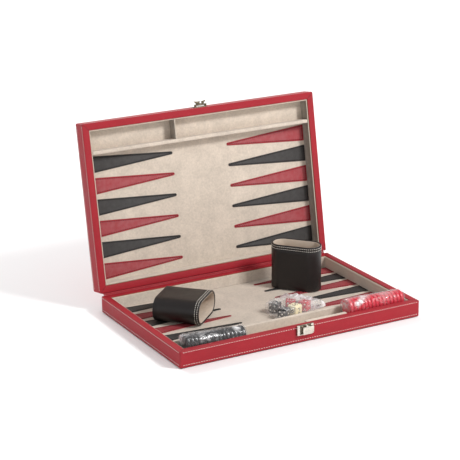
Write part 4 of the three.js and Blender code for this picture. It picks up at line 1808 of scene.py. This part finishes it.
@dataclass
class Die(Cube):
    """A die with painted pips."""

    top: int = 6

    def pips(self) -> None:
        """The pips: opposite faces add up to seven."""
        draft = Draft()
        spread, radius = self.size * 0.25, self.size * 0.092
        dome: Profile = [(radius, -0.12 * MM), (radius, 0.01 * MM), (radius * 0.7, 0.045 * MM),
                         (0.02 * MM, 0.06 * MM)]
        others = [value for value in range(1, 7) if value not in (self.top, 7 - self.top)]
        values = (self.top, others[0], others[1], 7 - others[1], 7 - others[0], 7 - self.top)
        for face, value in zip(self.faces(), values):
            for across, along in PIP_SPOTS[value]:
                turned(draft, dome, face @ Matrix.Translation((across * spread, along * spread, 0)), 14)
        settle(draft.finish(f"{self.node}_pips", 60), "dice", PIP_PAINT)

    def build(self) -> None:
        """Make the die."""
        self.block()
        self.pips()


@dataclass
class DoublingCube(Cube):
    """The ivory cube with a numeral on each face."""

    def numerals(self) -> None:
        """Thin painted numerals, in plain block figures."""
        draft = Draft()
        for face, value in zip(self.faces(), ("64", "2", "4", "8", "16", "32")):
            text = bpy.data.curves.new("numeral", "FONT")
            text.body = value
            text.size = self.size * (0.78 if len(value) == 1 else 0.62)
            text.extrude = 0.05 * MM
            text.align_x = "CENTER"
            text.align_y = "CENTER"
            holder = bpy.data.objects.new("numeral", text)
            bpy.context.scene.collection.objects.link(holder)
            bpy.context.view_layer.update()
            graph = bpy.context.evaluated_depsgraph_get()
            mesh = bpy.data.meshes.new_from_object(holder.evaluated_get(graph))
            faces = [list(poly.vertices) for poly in mesh.polygons]
            draft.add([vert.co for vert in mesh.vertices], faces, face)
            bpy.data.objects.remove(holder)
            bpy.data.curves.remove(text)
            bpy.data.meshes.remove(mesh)
        settle(draft.finish(f"{self.node}_numerals", 60), "dice", NUMERAL_PAINT)

    def build(self) -> None:
        """Make the doubling cube."""
        self.block()
        self.numerals()


@dataclass
class FilmBag:
    """A crumpled bag of clear film over the dice, with an open tail drawn out to the right."""

    around: int = 120
    upward: int = 26
    tail_start: float = 30 * MM
    tail_height: float = 12.4 * MM
    rest_height: float = 17.2 * MM
    middle_x: float = 34 * MM
    ray_start: float = 0.2
    # Painted highlight spots on the film: x, y and z from the bag's middle, reach and brightness.
    highlight_spots: tuple[tuple[float, float, float, float, float], ...] = (
        (26 * MM, 12 * MM, 16 * MM, 38 * MM, 0.9),
        (4 * MM, 22 * MM, 20 * MM, 22 * MM, 0.8),
        (50 * MM, 0, 6 * MM, 18 * MM, 1.0),
        (-22 * MM, 14 * MM, 14 * MM, 18 * MM, 0.5),
    )

    def reaches(self, middle: Vector) -> list[float]:
        """How far the CAD bag spreads in every direction, found in the thickness of its floor.

        Args:
            middle: A point in the bag's floor.

        Returns:
            The distances, counted anticlockwise from +X.
        """
        data = frame["nodes"]["dice_bag"].data
        skin = BVHTree.FromPolygons([vert.co for vert in data.vertices],
                                    [list(poly.vertices) for poly in data.polygons])
        far = self.ray_start
        found = []
        for step in range(self.around):
            angle = math.tau * step / self.around
            away = Vector((math.cos(angle), math.sin(angle), 0))
            found.append(far - skin.ray_cast(middle + away * far, -away)[3])
        return found

    def top(self, x: float, y: float) -> float:
        """How high the film stands over a place, counted from the bag's middle."""
        ridge = 1 - abs(noise.noise(Vector((x * 62, y * 62, 4.0)))) * 2.4
        fold = 1 - abs(noise.noise(Vector((x * 130 + 3, y * 130, 9.0)))) * 2.4
        to_right = min(max((x + 8 * MM) / (30 * MM), 0), 1)
        peaks = max(0.0, ridge) * (1.6 + 3.2 * to_right) * MM + max(0.0, fold) * 1.2 * MM
        rear = math.exp(-((x - 4 * MM) ** 2 + (y - 20 * MM) ** 2) / (11 * MM) ** 2) * 4 * MM
        share = min(max((x - self.tail_start + 4 * MM) / (14 * MM), 0), 1)
        over_tail = self.tail_height - 1.5 * MM + peaks * 0.4
        return (self.rest_height + peaks + rear) * (1 - share) + over_tail * share

    def build(self) -> None:
        """Make the bag as one closed skin of soft folds."""
        low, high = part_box("dice_bag")
        middle = Vector((self.middle_x, (low.y + high.y) / 2, low.z + 0.2 * MM))
        reaches = self.reaches(middle)
        tall = high.z - low.z - 0.3 * MM
        rings = []
        for level in range(self.upward + 1):
            turn = level / self.upward * math.pi / 2
            ring = []
            for step, reach in enumerate(reaches):
                angle = math.tau * step / self.around
                east, north = math.cos(angle), math.sin(angle)
                scallop = 1.2 * MM * (1 + noise.noise(Vector((east * 5, north * 5, 1.0))))
                steep = 0.4 - 0.15 * max(0.0, north)
                out = (reach - scallop) * max(math.cos(turn) ** steep, 0.02)
                crumple = noise.noise(Vector((out * east * 210, out * north * 210, turn * 3)))
                out += 0.9 * MM * crumple * math.sin(2 * turn)
                x, y = out * east, out * north
                height = min(self.top(x, y) * math.sin(turn) ** (1.9 * steep), tall)
                ring.append(middle + Vector((x, y, height)))
            rings.append(ring)
        draft = Draft()
        draft.rings(rings)
        highlight_patches = tuple((middle + Vector((x, y, z)), reach, highlight) for x, y, z, reach, highlight in self.highlight_spots)
        finish = Film("Bag film", "clear_film", (0.93, 0.91, 0.91), thinnest=0.16, glint_strength=0.75,
                      glint_scale=70.0, highlight_patches=highlight_patches)
        settle(draft.finish("dice_bag_film", 28), "dice", finish, "dice_bag")


# ---- the studio ------------------------------------------------------------------------------


@dataclass(frozen=True)
class Studio:
    """A pale floor, soft light and the camera."""

    eye: tuple[float, float, float] = (-1.1125, -1.9334, 0.8564)
    back: tuple[float, float, float] = (-0.4589, -0.8323, 0.3110)
    roll: float = -0.57
    lens: float = 131.46

    def floor(self) -> None:
        """The floor that the case stands on."""
        mesh = bpy.data.meshes.new("studio_floor")
        reach = 4.0
        mesh.from_pydata([(-reach, -reach, 0), (reach, -reach, 0), (reach, reach, 0), (-reach, reach, 0)], [],
                         [(0, 1, 2, 3)])
        made = bpy.data.materials.new("Studio floor")
        made.use_nodes = True
        shader = made.node_tree.nodes["Principled BSDF"]
        shader.inputs["Base Color"].default_value = (0.93, 0.93, 0.93, 1)
        shader.inputs["Roughness"].default_value = 0.9
        shader.inputs["Specular IOR Level"].default_value = 0.1
        mesh.materials.append(made)
        floor = bpy.data.objects.new("studio_floor", mesh)
        bpy.context.scene.collection.objects.link(floor)

    def lamp(self, name: str, place: tuple[float, float, float], size: float, power: float,
             target: tuple[float, float, float] = (0.0, 0.05, 0.1)) -> None:
        """One soft lamp.

        Args:
            name: The lamp's name.
            place: Where it hangs.
            size: The side of its square face.
            power: Its power in watts.
            target: What it is aimed at.
        """
        light = bpy.data.lights.new(name, "AREA")
        light.size = size
        light.energy = power
        lamp = bpy.data.objects.new(name, light)
        lamp.location = place
        aim = Vector(target) - Vector(place)
        lamp.rotation_euler = aim.to_track_quat("-Z", "Y").to_euler()
        bpy.context.scene.collection.objects.link(lamp)

    def sky(self) -> None:
        """Even light from all round."""
        world = bpy.data.worlds.new("studio")
        world.use_nodes = True
        background = world.node_tree.nodes["Background"]
        background.inputs["Color"].default_value = (1, 1, 1, 1)
        background.inputs["Strength"].default_value = 0.5
        bpy.context.scene.world = world

    def camera(self) -> None:
        """The camera, at the front left and above."""
        z_axis = Vector(self.back).normalized()
        level = Vector((0, 0, 1)).cross(z_axis).normalized()
        up = z_axis.cross(level)
        angle = math.radians(self.roll)
        x_axis = level * math.cos(angle) + up * math.sin(angle)
        y_axis = z_axis.cross(x_axis)
        matrix = Matrix((x_axis, y_axis, z_axis)).transposed().to_4x4()
        matrix.translation = Vector(self.eye)
        data = bpy.data.cameras.new("camera")
        data.lens = self.lens
        data.sensor_width = 36.0
        data.clip_end = 50.0
        camera = bpy.data.objects.new("camera", data)
        camera.matrix_world = matrix
        bpy.context.scene.collection.objects.link(camera)
        bpy.context.scene.camera = camera

    def build(self) -> None:
        """Set up the whole studio."""
        self.floor()
        self.sky()
        self.lamp("key", (1.06, -1.36, 1.68), 0.5, 43.0)
        self.lamp("fill", (-1.5, -1.2, 0.6), 1.2, 3.0)
        self.lamp("backdrop", (-0.3, 3.1, 2.4), 2.0, 105.0, (-0.05, 1.6, 0.0))
        self.camera()
        bpy.context.scene.view_settings.view_transform = "Standard"


# ---- the whole case --------------------------------------------------------------------------


def lid_matrix(sizes: TraySizes, axis: Vector, opening: float) -> Matrix:
    """From the lid tray's own frame to its place on the open case.

    Args:
        sizes: The tray's sizes.
        axis: A point on the hinge's axis.
        opening: How far the lid stands open, in radians from closed.

    Returns:
        The matrix.
    """
    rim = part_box("base_cover")[1].z
    return (Matrix.Translation(axis) @ Matrix.Rotation(math.pi - opening, 4, "X")
            @ Matrix.Translation((0, axis.y, rim - axis.z - sizes.height))
            @ Matrix.Rotation(math.pi, 4, "Z"))


STANDING_CUP_TURN = math.radians(-50)
LYING_CUP_TURN = math.radians(-46.5)


def cup_matrices() -> tuple[Matrix, Matrix]:
    """Where the two cups are: one stands, and one lies on its broad side.

    Returns:
        The standing cup's matrix and the lying one's.
    """
    spot = middle_of("standing_cup_shell")
    spot.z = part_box("standing_cup_shell")[0].z
    standing = Matrix.Translation(spot) @ Matrix.Rotation(STANDING_CUP_TURN, 4, "Z")
    turn = LYING_CUP_TURN
    along = Vector((math.cos(turn), math.sin(turn), 0))
    foot = middle_of("lying_cup_shell") - along * (DiceCup.height / 2)
    tipped = Matrix((Vector((0, 0, 1)), Vector((1, 0, 0)), Vector((0, 1, 0)))).to_4x4()
    lying = Matrix.Translation(foot) @ Matrix.Rotation(turn, 4, "Z") @ tipped
    return standing, lying


def main() -> None:
    """Build the case, its contents and the studio."""
    logging.basicConfig(level=logging.INFO, format="%(message)s")
    hinge = joint("lid_closes")
    axis = Vector(hinge["pos_m"])
    opening = -math.radians(hinge["range_deg"][0])
    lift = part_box("base_cover")[0].z
    base = Tray(TrayKind.BASE, Matrix.Translation((0, 0, lift)), red_on_left=False)
    lid = Tray(TrayKind.LID, lid_matrix(base.sizes, axis, opening), red_on_left=True)
    base.build()
    lid.build()
    CaseFittings(lid).build()
    LeatherHinge(axis).build(base, lid)
    Metalwork().build()
    standing, lying = cup_matrices()
    DiceCup("standing_cup", standing).build()
    DiceCup("lying_cup", lying).build()
    CheckerStack("black_checkers", BLACK_PLASTIC, 5 * MM, 0.6 * MM, 0.05, 1.0, BLACK_FILM_HIGHLIGHTS).build()
    CheckerStack("red_checkers", RED_PLASTIC, 6.4 * MM, 4.4 * MM, 0.03, 8.0, RED_FILM_HIGHLIGHTS).build()
    for node, turn, finish, top in DICE:
        Die(node, DIE_SIZE, turn, finish, top=top).build()
    DoublingCube("doubling_cube", 15 * MM, 20, IVORY).build()
    FilmBag().build()
    Studio().build()


if __name__ == "__main__":
    main()
